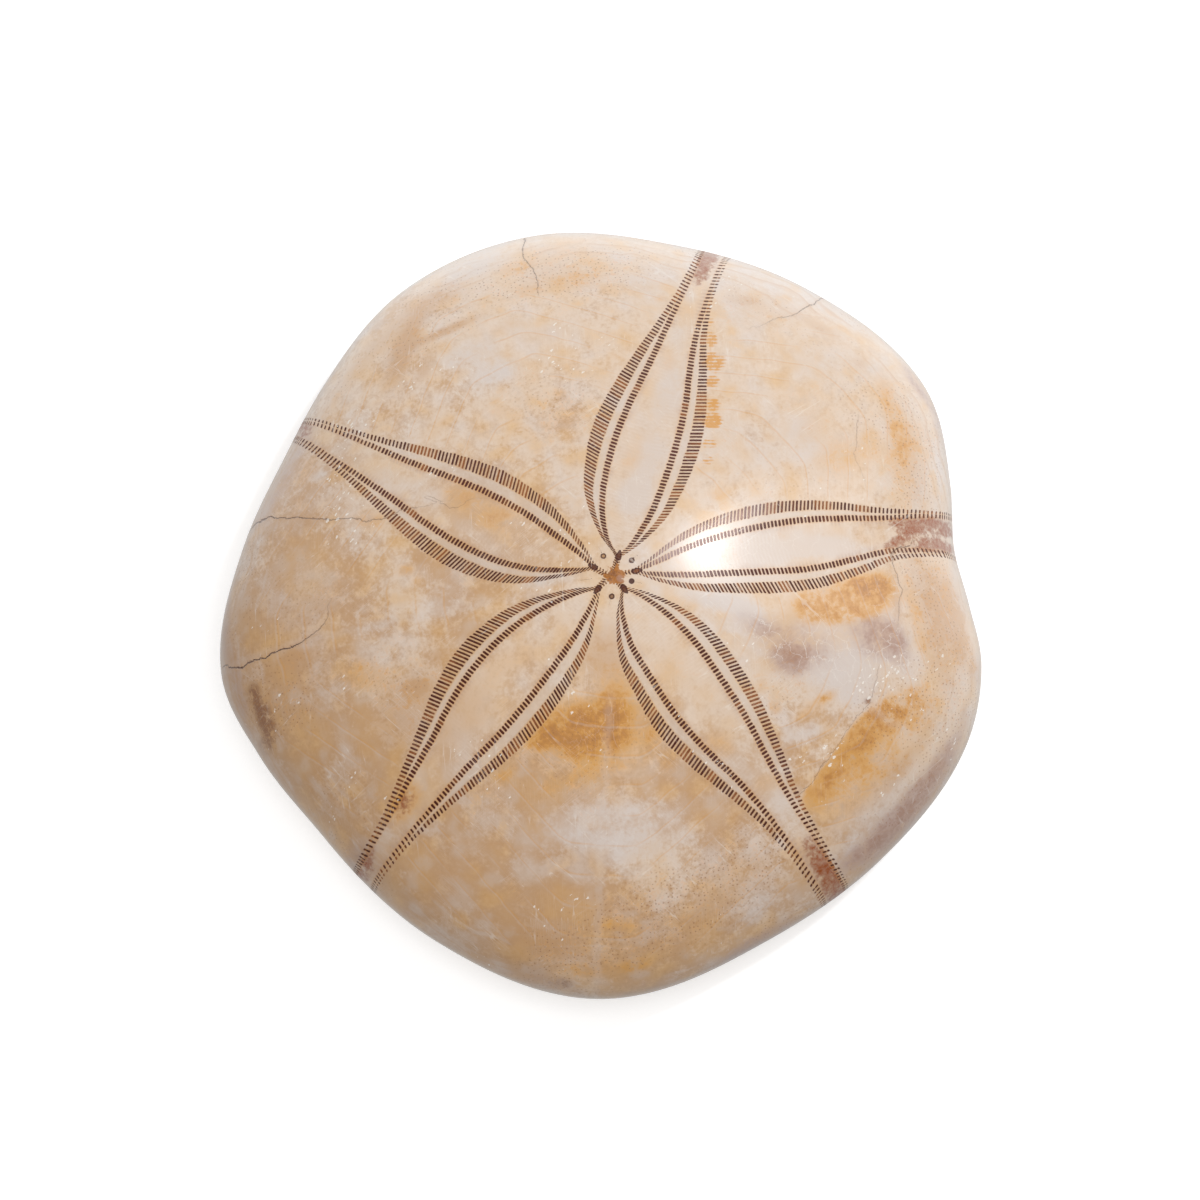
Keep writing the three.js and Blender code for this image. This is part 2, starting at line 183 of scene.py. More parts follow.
# Each stain: ahead, to the left, half length, half width, turn in degrees, strength
STAINS = {
    "ochre": (
        # in the right field behind the top, the strongest stain of the shell
        (-4.5, -17.0, 4.2, 2.6, 0, 1.0), (-8.6, -17.2, 1.6, 1.2, 10, 0.6), (0.0, -16.5, 1.8, 2.8, 0, 0.65),
        (-2.2, -19.4, 3.2, 1.2, 5, 0.55), (1.0, -12.8, 2.6, 2.4, 0, 0.35), (-3.0, -19.0, 9.0, 4.6, 0, 0.3),
        (-4.5, -22.4, 6.5, 0.9, 8, 0.26), (4.0, -19.2, 1.4, 1.1, 0, 0.4), (5.2, -22.0, 1.0, 1.2, 0, 0.28),
        (-13.4, -20.7, 1.0, 0.6, 20, 0.45), (-16.4, -22.0, 1.6, 0.9, 20, 0.3),
        # beside the front petal
        (31.4, -4.7, 2.6, 1.0, 14, 0.8), (28.4, -6.2, 5.0, 2.0, 4, 0.78), (32.8, -6.0, 2.0, 1.8, 0, 0.5),
        (26.0, -8.2, 3.0, 1.2, 0, 0.46), (30.4, -8.3, 2.2, 0.9, 10, 0.34), (23.4, -6.4, 1.6, 1.1, 0, 0.4),
        # front right field
        (32.0, -19.2, 3.4, 1.4, 14, 0.4), (36.0, -18.0, 2.4, 1.4, 0, 0.3),
        (18.3, -17.9, 0.7, 0.7, 0, 0.7), (24.5, -17.2, 1.3, 0.5, 20, 0.5),
        (22.4, -18.6, 2.6, 0.8, 25, 0.34), (17.0, -15.4, 0.9, 0.6, 60, 0.38),
        # petals' insides
        (11.4, -21.2, 1.9, 1.2, -40, 0.48), (16.0, -26.0, 1.4, 1.1, 0, 0.42),
        (7.2, -12.0, 2.6, 3.0, 0, 0.2), (-11.0, -8.4, 4.0, 1.8, 15, 0.3),
        (-15.4, -13.0, 2.2, 1.8, 45, 0.22), (-25.2, -21.4, 2.1, 1.2, 45, 1.1),
        (-11.0, 9.2, 5.8, 2.2, -38, 0.42), (-9.8, 8.6, 1.8, 1.2, 0, 0.3),
        (-13.2, 12.0, 2.0, 1.2, -30, 0.3), (6.5, 13.0, 2.0, 1.3, 60, 0.34),
        (12.8, 24.7, 0.9, 1.3, 0, 0.34), (16.2, 31.0, 1.3, 1.5, 0, 0.28), (22.5, 1.9, 1.0, 0.8, 0, 0.3),
        (25.6, 2.1, 0.9, 1.0, 0, 0.28), (28.4, 1.6, 1.6, 0.6, 0, 0.24), (15.6, 7.2, 1.3, 0.8, 0, 0.38),
        (13.4, 33.3, 0.8, 0.5, 0, 0.45),
        # small spots of the left flank
        (-0.3, 22.5, 0.8, 0.6, 0, 0.5), (-2.8, 18.8, 0.9, 0.5, -30, 0.36), (1.8, 26.0, 0.8, 0.6, 0, 0.3),
        (-8.0, 21.5, 1.3, 1.0, 0, 0.24), (-2.0, 37.0, 1.6, 1.0, 0, 0.46), (-3.0, 40.5, 2.2, 1.1, 0, 0.4),
        (4.2, 37.4, 2.2, 1.2, 0, 0.48), (2.6, 41.5, 4.2, 1.0, 0, 0.3), (2.4, 43.2, 4.0, 0.5, 4, 0.3),
        (-6.0, 32.0, 1.6, 0.8, 20, 0.26), (21.5, 16.5, 1.0, 1.0, 0, 0.22), (-21.0, 4.5, 0.8, 0.7, 0, 0.62),
        (-20.0, 3.0, 0.6, 0.5, 0, 0.35), (-31.0, 20.0, 2.0, 1.6, 60, 0.34),
        # front left shoulder
        (31.0, 10.5, 3.2, 2.4, 20, 0.4), (38.0, 17.6, 1.2, 3.2, 0, 0.46), (38.8, 13.0, 1.4, 3.0, 0, 0.46),
        (38.0, 8.6, 1.5, 3.8, 0, 0.46), (35.0, 12.0, 1.6, 2.0, 0, 0.28), (28.0, 14.6, 2.0, 1.4, 30, 0.26),
        (41.6, 12.4, 1.2, 2.4, 0, 0.32), (36.6, -9.0, 0.8, 4.4, 4, 0.5), (41.0, -5.0, 0.8, 3.6, 0, 0.3),
        (43.0, -14.0, 1.0, 2.6, 10, 0.34),
        # hind fields near the edge
        (-3.4, -39.0, 2.2, 1.0, 0, 0.5), (-2.0, -43.4, 1.9, 0.8, 5, 0.55),
        (-8.0, -43.0, 3.2, 0.9, -8, 0.5), (-27.4, -6.4, 2.6, 1.9, -20, 0.46),
        (-24.4, 11.6, 1.9, 1.2, -25, 0.5),
    ),
    "tan": (
        (-17.5, 32.0, 4.2, 1.3, 62, 0.85), (-12.2, 33.5, 4.2, 0.6, 14, 0.75),
        (-16.6, 36.4, 6.2, 1.8, 34, 0.42), (-11.6, 38.6, 3.4, 1.4, 15, 0.34),
        (2.0, 38.5, 5.0, 2.4, 0, 0.3), (-1.0, 30.5, 3.0, 1.2, 0, 0.2), (-36.0, 5.0, 2.6, 7.0, -10, 0.2),
        (-40.0, 2.4, 1.6, 3.0, 0, 0.25), (-21.0, -12.5, 7.0, 5.0, 0, 0.6), (0.0, -9.5, 3.0, 3.4, 0, 0.62),
        (-24.0, -31.0, 4.0, 4.0, 0, 0.34), (-16.0, -39.0, 5.0, 2.4, -20, 0.34),
        (40.0, -8.0, 1.8, 4.6, 0, 0.8), (41.8, -9.0, 1.4, 6.0, 0, 0.5), (37.8, -5.0, 1.6, 5.0, 0, 0.5),
        (38.6, -14.6, 1.6, 4.0, 14, 0.5), (35.6, -19.6, 2.0, 2.6, 35, 0.4),
        (39.6, 10.0, 1.6, 6.0, 0, 0.4), (30.6, -25.4, 2.4, 1.6, 40, 0.36),
        (-15.2, 29.4, 2.0, 1.0, 60, 0.5), (-36.6, -3.4, 3.2, 1.6, 10, 0.42),
        (-35.2, -2.4, 1.4, 1.2, 0, 0.5), (-37.0, -8.0, 3.0, 3.4, 0, 0.28),
        (-22.0, -9.1, 1.2, 0.8, 0, 1.0), (-18.6, -6.0, 1.0, 0.7, 0, 0.45),
        (-27.6, 14.4, 1.6, 2.0, 0, 0.34), (-33.0, 12.0, 1.4, 5.0, -30, 0.26),
        (-10.0, -36.0, 5.6, 3.0, -18, 0.4), (-11.2, -39.4, 4.0, 1.0, -24, 0.5),
        (-1.0, -36.5, 3.0, 2.4, 0, 0.26), (-7.6, -42.2, 4.0, 1.4, -10, 0.44),
        (3.0, -41.0, 4.0, 2.0, 8, 0.36), (8.4, -38.2, 3.4, 1.6, 20, 0.36),
        (13.0, -34.8, 3.0, 2.0, 20, 0.34), (-19.0, -30.0, 3.4, 2.6, -40, 0.24),
        (33.0, -25.0, 3.6, 0.5, 34, 0.42), (30.6, -27.6, 3.4, 0.5, 34, 0.4),
        (34.6, -23.0, 2.4, 0.4, 40, 0.32), (23.0, 32.2, 1.8, 0.8, -10, 0.44),
        (31.6, 27.8, 2.8, 0.8, -40, 0.4), (35.6, 22.6, 0.9, 0.8, 0, 0.4),
        (26.0, 30.6, 3.2, 1.4, -20, 0.24), (-30.0, 24.6, 1.4, 3.0, -40, 0.24),
        (-25.0, 30.0, 4.6, 1.2, 45, 0.26), (29.0, -9.6, 2.6, 1.0, 0, 0.2),
        (41.8, -12.0, 1.0, 3.4, 4, 0.36), (4.0, -30.0, 3.0, 1.8, 0, 0.18),
        (-29.0, -1.6, 1.6, 3.0, -30, 0.2),
    ),
    "umber": (
        (-40.0, -8.2, 0.9, 2.6, 12, 0.85), (-40.8, -5.0, 0.8, 1.0, 0, 0.6),
        (-40.4, -11.0, 1.0, 1.2, 10, 0.35), (-25.4, -21.6, 1.0, 0.7, 45, 0.3),
        (-31.2, 26.6, 1.6, 1.4, -40, 0.34), (-10.6, -43.8, 1.4, 0.5, -14, 0.5),
        (-31.6, -26.8, 1.8, 1.6, 45, 0.3), (29.1, -18.3, 0.4, 0.3, 0, 0.9),
        (28.0, -22.6, 0.4, 0.3, 0, 0.7), (24.8, 17.5, 0.3, 0.2, 0, 0.7), (-4.4, -15.9, 2.0, 0.7, 8, 0.26),
        (36.8, -0.2, 0.6, 0.5, 0, 0.45),
    ),
    # cut off along a plate's edge
    "cut": (
        (22.0, -27.4, 2.4, 1.8, 48, 0.95), (24.6, -25.2, 2.4, 1.7, 50, 0.8),
        (27.4, -22.6, 2.8, 1.8, 50, 1.05), (30.4, -20.2, 2.8, 1.5, 30, 0.6),
        (25.8, -28.6, 5.0, 1.4, 46, 0.35), (30.6, -24.6, 6.0, 2.8, 44, 0.34),
        (33.6, -20.4, 3.6, 1.6, 20, 0.42),
    ),
    # a chain of rusty dashes along the front left petal, combed like its slits
    "comb": (
        (18.3, 27.1, 0.7, 1.0, 0, 0.9), (18.0, 24.0, 1.2, 1.1, 0, 1.2), (17.5, 21.4, 0.8, 0.7, 0, 0.9),
        (16.9, 18.5, 0.9, 0.8, 0, 1.0), (16.6, 16.4, 1.1, 0.8, 0, 1.2), (15.8, 13.6, 0.8, 0.7, 0, 0.8),
        (15.2, 11.6, 0.7, 0.5, 0, 0.7), (18.5, 29.6, 0.6, 0.7, 0, 0.6),
    ),
    # between the rows of pores at the petals' far ends
    "petal_end": (
        (37.8, 2.2, 2.6, 0.9, -4, 0.7), (41.6, 2.2, 2.4, 0.9, 0, 0.85), (36.0, 0.2, 1.7, 0.55, 20, 0.8),
        (40.4, -0.2, 2.4, 0.8, 0, 1.1), (19.4, 37.8, 2.6, 0.9, 64, 0.95), (20.8, 41.2, 2.4, 1.3, 64, 1.1),
        (20.6, -34.1, 2.0, 1.2, -58, 0.5), (22.4, -37.4, 2.6, 1.4, -58, 0.85),
        (-25.2, -21.4, 1.9, 1.2, 45, 0.35), (-31.8, -26.8, 2.4, 1.6, 45, 0.55),
        (-31.6, 26.8, 2.4, 1.4, -40, 0.6),
    ),
    "violet": (
        (20.9, -12.7, 1.9, 1.5, -15, 0.9), (21.4, -10.8, 4.2, 3.2, -10, 0.42),
        (17.4, -8.4, 2.6, 1.2, -30, 0.34), (31.8, -10.9, 2.6, 2.6, 20, 0.85),
        (29.0, -8.8, 2.4, 1.4, 0, 0.2), (34.0, -13.0, 1.2, 2.2, 0, 0.45), (34.4, -6.0, 0.6, 2.6, 0, 0.4),
        (25.6, -12.0, 3.4, 2.4, 0, 0.16), (37.4, -25.2, 2.8, 1.0, 50, 0.85),
        (33.6, -28.9, 3.2, 1.2, 43, 0.8), (29.4, -32.3, 3.2, 1.2, 36, 0.75),
        (25.4, -34.9, 2.8, 1.0, 26, 0.6), (40.4, -21.2, 2.0, 0.8, 62, 0.4),
        # The thin ovals along the very edge at the tail and the right flank, at (12, -42.9), (-12, -43.4),
        # (-42.6, -4) and (-43, 6), are partly violet stain and partly painted shade on the rim where it
        # turns from the lights
        (32.0, -31.4, 7.0, 1.0, 40, 0.3), (12.0, -42.9, 5.4, 0.8, 21, 0.75),
        (42.4, 19.6, 3.4, 0.8, -64, 0.75), (44.0, 14.4, 2.4, 0.6, -86, 0.45),
        (-12.0, -43.4, 4.0, 0.8, -22, 0.34), (-33.0, 21.0, 4.4, 1.1, 52, 0.5),
        (-31.4, 25.8, 1.6, 1.6, 0, 0.42), (-42.6, -4.0, 0.9, 6.0, 4, 0.45),
        (-43.0, 6.0, 0.8, 5.0, -10, 0.45), (-37.0, 15.6, 1.2, 3.2, -34, 0.3),
        (43.0, -15.2, 0.8, 1.8, 0, 0.34), (-31.0, -26.0, 2.0, 2.0, 0, 0.45),
        (36.8, -0.9, 1.2, 0.5, 10, 0.4), (38.4, 1.2, 2.4, 0.3, 0, 0.4),
    ),
    # where the slits look worn nearly away beside the glint: partly real wear and partly a painted
    # highlight that washes them pale lavender
    "faded": (
        (15.0, 3.0, 5.6, 1.6, 20, 1.0), (10.4, 1.6, 3.6, 1.3, 20, 0.8), (11.5, -1.8, 3.6, 1.0, -4, 0.55),
    ),
    # where the polish is chipped and scratched the most
    "worn": (
        (-21.7, 24.3, 1.4, 1.4, 0, 1.2), (-16.0, 27.5, 4.0, 2.6, 20, 0.9), (-29.0, 18.6, 1.8, 1.2, 0, 0.9),
        (1.0, 36.6, 6.0, 3.4, 0, 0.9), (-3.4, -14.2, 2.4, 1.2, 0, 1.1), (28.4, -28.4, 2.2, 1.6, 40, 1.3),
        (33.0, -14.0, 4.0, 4.0, 0, 0.8), (17.0, -16.4, 2.4, 2.0, 0, 0.8), (31.4, -22.0, 4.0, 3.0, 40, 0.7),
        (9.0, -21.6, 1.6, 1.6, 0, 0.8), (-25.0, 9.0, 3.0, 3.0, 0, 0.7), (27.0, -9.0, 5.0, 4.0, 0, 0.5),
    ),
    "freckled": (
        (4.0, -38.0, 10.0, 4.0, 10, 1.0), (-7.0, -41.0, 6.0, 2.4, -12, 0.8),
        (14.0, -33.0, 4.0, 3.0, 20, 0.6), (40.0, 8.0, 2.6, 9.0, -6, 0.9), (36.0, 16.0, 4.0, 5.0, 30, 0.6),
        (39.0, -6.0, 3.0, 8.0, 4, 1.0), (37.0, -17.0, 3.0, 4.0, 20, 0.7), (30.0, -21.0, 6.0, 3.6, 35, 0.7),
        (37.0, -19.0, 3.0, 3.0, 50, 0.6), (2.0, 38.0, 9.0, 4.0, 0, 0.7), (-13.0, 35.0, 6.0, 3.4, 30, 0.6),
        (-1.0, 22.0, 5.0, 4.0, 0, 0.5), (-36.0, -3.0, 4.0, 7.0, 0, 0.5), (-24.0, -8.0, 5.0, 3.0, -20, 0.5),
        (-5.0, -19.0, 8.0, 5.0, 0, 0.5), (-30.0, 3.0, 4.0, 4.0, 0, 0.3), (19.0, -17.0, 4.0, 2.0, 40, 0.5),
        (12.0, 14.0, 4.0, 3.0, 60, 0.3), (24.0, 8.0, 6.0, 3.0, 0, 0.3),
    ),
    "pale": (
        (-10.0, 29.4, 3.6, 1.8, 10, 0.6), (-7.0, 26.4, 2.6, 1.5, 20, 0.7),
        (-7.2, 42.4, 4.0, 2.2, 15, 0.6), (-4.2, 32.4, 1.8, 1.2, 0, 0.44),
        (-17.0, 13.0, 2.2, 1.5, -40, 0.6), (-22.0, 16.0, 3.0, 1.4, -42, 0.5),
        (-29.6, 18.8, 1.4, 0.7, 0, 0.6), (-26.0, -4.6, 2.2, 3.2, -20, 0.46),
        (-5.4, 0.0, 3.4, 0.7, 0, 0.6), (-17.0, -16.6, 2.4, 1.1, 35, 0.44),
        (-4.0, -27.0, 6.4, 2.8, 0, 0.5), (0.6, -31.0, 4.4, 2.2, 0, 0.36),
        (-20.6, -33.4, 1.8, 1.0, -30, 0.4), (26.4, -14.2, 4.0, 2.0, 0, 0.75),
        (28.4, -17.0, 3.0, 2.2, -20, 0.55), (17.0, -7.0, 2.6, 1.4, -50, 0.6),
        (21.0, -21.0, 2.8, 1.1, 0, 0.6), (17.6, -28.8, 2.2, 1.5, -50, 0.6),
        (13.0, -17.0, 2.0, 1.6, 0, 0.24), (6.2, 8.4, 1.6, 2.6, -24, 1.4), (9.0, 13.0, 1.6, 2.6, -24, 0.9),
        (12.4, 20.8, 1.8, 3.8, -24, 0.8), (14.6, 28.0, 1.1, 2.2, -24, 0.6),
        (23.0, 12.0, 8.0, 5.0, 10, 0.36), (11.0, 36.0, 3.0, 1.4, -25, 0.5),
        # The long pale ovals down the middle of the front petal, at (20, 0.6), (29, -0.6) and (14, -1), are
        # partly paler stone and partly a painted glow of the highlight
        (27.0, 13.0, 1.4, 3.2, 10, 0.3), (20.0, 0.6, 9.0, 1.8, 0, 1.2), (29.0, -0.6, 4.0, 1.0, -6, 0.7),
        (14.0, -5.4, 3.4, 1.0, -20, 0.8), (20.3, 34.8, 1.8, 0.8, 64, 0.6),
        (30.0, 23.6, 4.0, 4.0, 0, 0.28), (32.4, 33.0, 3.0, 1.2, -45, 0.4),
        (36.6, 27.8, 3.0, 0.9, -50, 0.5), (38.0, -5.6, 0.8, 3.2, 4, 0.5),
        (34.8, -14.6, 2.4, 1.6, 0, 0.4), (31.0, -30.6, 2.6, 0.5, 38, 0.34),
        (6.0, -38.0, 2.6, 1.2, 10, 0.24), (-13.6, -3.4, 3.0, 0.8, 10, 0.24),
        (16.8, 33.4, 0.8, 1.2, 20, 0.6), (17.0, 42.2, 4.0, 1.2, -24, 0.34),
        (-27.0, 33.0, 5.0, 0.6, 46, 0.3), (-2.0, -22.0, 3.0, 0.7, 10, 0.2),
        (33.0, -12.8, 2.4, 0.7, 30, 0.36), (1.0, 31.0, 3.0, 1.6, 0, 0.26),
        (24.0, -13.0, 9.0, 6.0, -10, 0.34), (33.0, -10.0, 5.0, 4.0, 0, 0.3),
        (0.0, -29.0, 14.0, 3.0, 4, 0.26), (28.0, -31.6, 7.0, 3.4, 36, 0.56),
        (14.0, -1.0, 8.0, 3.0, 5, 0.55), (14.0, -38.0, 6.0, 3.0, 16, 0.36), (-17.0, 0.5, 4.0, 3.0, 0, 0.34),
        (-33.0, 3.0, 4.0, 6.0, 0, 0.36), (14.0, -24.0, 3.0, 4.0, 30, 0.3),
    ),
}

# Each crack: its points as (ahead, to the left), and its strength at its first and last point
CRACKS = (
    (((-39.2, 15.2), (-36.0, 15.5), (-34.0, 14.4), (-32.2, 14.0), (-30.4, 13.2), (-28.4, 12.9),
      (-26.2, 12.0), (-24.6, 11.3)), 0.95, 0.45),
    (((-24.6, 11.3), (-21.6, 11.5), (-19.2, 11.8), (-17.2, 11.5), (-15.4, 12.0)), 0.55, 0.1),
    (((-43.2, -1.2), (-42.0, -1.8), (-40.2, -1.4), (-38.0, -1.3), (-36.0, -1.1), (-34.8, -1.2)), 1.3, 0.9),
    (((-34.8, -1.2), (-33.0, -0.5), (-31.5, 0.8), (-30.6, 2.2), (-29.9, 3.4)), 0.75, 0.1),
    (((-0.8, 46.6), (-1.5, 43.8), (-1.5, 42.0), (-0.9, 40.2), (-0.6, 38.4), (-0.7, 37.2)), 0.75, 0.45),
    (((-16.4, 12.1), (-14.7, 10.7), (-12.5, 11.2), (-10.2, 11.1)), 0.35, 0.1),
    (((34.2, 33.2), (31.0, 31.0), (28.3, 29.6), (23.8, 28.4)), 0.80, 0.2),
    (((34.3, -9.3), (35.5, -5.7), (34.9, -2.6), (35.4, -0.9), (37.0, -0.2)), 0.25, 0.6),
    (((20.2, -27.3), (24.4, -23.2), (29.4, -18.2), (30.6, -15.4)), 0.3, 0.25),
    (((33.6, 14.6), (32.6, 10.8), (33.2, 7.8)), 0.3, 0.15),
)
CRACK_REACH = 4           # mm; further off, a crack has no say

# ---------------------------------------------------------------- clouds and silt

OCTAVE_SHIFT = 17.3       # keeps the lattices of a cloud's octaves apart
CLOUD_STRENGTH = 0.12     # standard deviation of a cloud about its middle, 0.5
PALER_AHEAD = 0.0060      # the ground is paler by these shares a millimetre towards the front
PALER_LEFT = 0.0062       # and towards the left,
DARKER_EDGE = 0.00005     # darker by this share a square millimetre from the middle,
PALER_ALL = 0.10          # and paler by this share everywhere
SILT_HALF_WIDTH = 3.2     # degrees; silt along the bottom of each furrow

FAR = 1e9                 # further than any point


# ---------------------------------------------------------------- shape functions

def curve_through(places, values, at):
    """A smooth curve through the given values: between two places it is the cubic whose slopes at both
    ends are the slopes between their neighbours. Beyond the ends it stays level."""
    places = np.asarray(places, float)
    values = np.asarray(values, float)
    slopes = np.gradient(values, places)
    slopes[1:-1] = (values[2:] - values[:-2]) / (places[2:] - places[:-2])
    at = np.clip(at, places[0], places[-1])
    k = np.clip(np.searchsorted(places, at, side="right") - 1, 0, len(places) - 2)
    span = places[k + 1] - places[k]
    t = (at - places[k]) / span
    rise = values[k + 1] - values[k]
    start, end = slopes[k] * span, slopes[k + 1] * span
    return values[k] + t * (start + t * (3 * rise - 2 * start - end + t * (start + end - 2 * rise)))


def reach(bearing):
    """Distance from the middle to the edge: a smooth closed curve through the points of OUTLINE."""
    turns = [(b + 360 * k, r) for k in (-1, 0, 1) for b, r in OUTLINE]
    bearings, reaches = zip(*turns)
    return curve_through(bearings, reaches, np.mod(bearing, 360))


def turn(bearing, other):
    """Angle between two bearings, from -180 to 180 degrees."""
    return np.mod(bearing - other + 540, 360) - 180


def bump(distance, half_width):
    """A rounded bump, 1 at its middle and near 0 at twice its half width."""
    return np.exp(-((distance / half_width) ** 2))


def radiating(bearing, bearings, half_width):
    """Bumps summed over a set of bearings."""
    return sum(bump(turn(bearing, other), half_width) for other in bearings)


def smooth(low, high, value):
    """0 below low, 1 above high, and the cubic 3t^2 - 2t^3 between them."""
    t = np.clip((value - low) / (high - low), 0, 1)
    return t * t * (3 - 2 * t)


def plan(bearing, fraction, pole, cornering):
    """Place in plan: the fraction of the reach along the bearing, drawn in towards a pole, while the
    outline's corners fade by the share cornering."""
    radius = (MEAN_REACH + (reach(bearing) - MEAN_REACH) * cornering) * fraction
    angle = np.radians(bearing)
    x = pole[0] * (1 - fraction) + radius * np.cos(angle)
    y = pole[1] * (1 - fraction) + radius * np.sin(angle)
    return x, y


def dome(bearing, fraction):
    """Upper surface: height is a superellipse of the fraction of the reach, with a soft crown, less a
    shallow groove along each petal near the edge."""
    def fallen(f):
        return 1 - (np.hypot(f, CROWN_SOFTNESS) / np.hypot(1, CROWN_SOFTNESS)) ** DOME_SPREAD
    rise = np.maximum(0, fallen(fraction) / fallen(0)) ** (1 / DOME_RISE)
    x, y = plan(bearing, fraction, APEX, fraction ** OUTLINE_FADE)
    groove = (GROOVE_DEPTH * radiating(bearing, AMBULACRA, GROOVE_HALF_WIDTH)
              + (FRONT_GROOVE_DEPTH - GROOVE_DEPTH) * bump(turn(bearing, AMBULACRA[0]), GROOVE_HALF_WIDTH))
    z = EDGE_HEIGHT + (HEIGHT - EDGE_HEIGHT) * rise - groove * fraction ** 6 * rise ** 0.5
    return np.stack((x, y, z), -1)


def underside(bearing, fraction):
    """Lower surface: a quarter circle from the edge to the flat pads, then a cup towards the mouth with
    five furrows, five lips, the deep mouth itself and the oval pit of the vent near the tail."""
    lobes = radiating(bearing, AMBULACRA, MOUTH_LOBE_HALF_WIDTH) - 0.5
    lobed = fraction * (1 + MOUTH_LOBING * lobes * bump(fraction - MOUTH_SIZE, MOUTH_SIZE))
    x, y = plan(bearing, lobed, (MOUTH_AHEAD, 0), fraction ** OUTLINE_FADE)
    outward = np.clip((fraction - PAD_OUTER) / (1 - PAD_OUTER), 0, 1)
    z = EDGE_HEIGHT * (1 - np.sqrt(1 - outward ** 2))
    z = z + CUP_RISE * smooth(0, 1, (PAD_INNER - fraction) / (PAD_INNER - MOUTH_SIZE))
    furrowed = np.clip((fraction - LIP_RING) / FURROW_START, 0, 1) * (1 - fraction ** 8)
    z = z + FURROW_DEPTH * radiating(bearing, AMBULACRA, FURROW_HALF_WIDTH) * furrowed
    z = z - LIP_HEIGHT * radiating(bearing, FIELDS, LIP_HALF_WIDTH) * bump(fraction - LIP_RING, LIP_WIDTH)
    z = z + MOUTH_DEPTH * np.maximum(0, 1 - (fraction / MOUTH_SIZE) ** 3)
    along = (-x - VENT_BEHIND) / VENT_HALF_LENGTH
    across = y / VENT_HALF_WIDTH
    z = z + VENT_DEPTH * np.maximum(0, 1 - along ** 2 - across ** 2) ** 0.7
    return np.stack((x, y, z), -1)


def ring_fractions(shape):
    """Fractions of the reach of every ring, from the top of the dome to the edge, then back below to
    the mouth. Rings crowd where the surface turns down."""
    steps = np.arange(1, shape.dome_rings + 1) / shape.dome_rings
    above = np.sin(steps * math.pi / 2) ** RING_CROWDING
    steps = np.arange(1, shape.edge_rings + 1) / shape.edge_rings
    edge = PAD_OUTER + (1 - PAD_OUTER) * np.cos(steps * math.pi / 2)
    inward = np.linspace(PAD_OUTER, MOUTH_RIM, shape.cup_rings + 1)[1:]
    mouth = np.linspace(MOUTH_RIM, 0, shape.mouth_rings + 1)[1:-1]
    return above, np.concatenate((edge, inward, mouth))


def test_grid(shape):
    """The closed shell as one grid of rings by bearings, with its two poles. The run of a point is the
    length of surface from the top of the dome."""
    above, below = ring_fractions(shape)
    bearings = 360 * np.arange(shape.sectors) / shape.sectors
    grid = np.concatenate((
        dome(bearings[None, :], above[:, None]),
        underside(bearings[None, :], below[:, None]),
    ))
    top = dome(np.zeros(1), np.zeros(1))
    bottom = underside(np.zeros(1), np.zeros(1))
    first = np.broadcast_to(top, (1,) + grid.shape[1:])
    steps = np.linalg.norm(np.diff(grid, axis=0, prepend=first), axis=-1)
    return grid, top, bottom, np.cumsum(steps, axis=0)


# ---------------------------------------------------------------- fields that the finish reads

def in_axes(x, y, place, bearing):
    """Each point in axes that start at a place and are turned to a bearing: along them and across them."""
    angle = math.radians(bearing)
    dx, dy = x - place[0], y - place[1]
    return dx * math.cos(angle) + dy * math.sin(angle), dy * math.cos(angle) - dx * math.sin(angle)


def nearest_spoke(x, y, centre, bearings):
    """Of the spokes that start at a centre, the one that each point faces: length along it and signed
    distance across it."""
    spokes = np.array([in_axes(x, y, centre, bearing) for bearing in bearings])
    facing = spokes[:, 0].argmax(0)
    points = np.arange(len(x))
    return spokes[facing, 0, points], spokes[facing, 1, points]


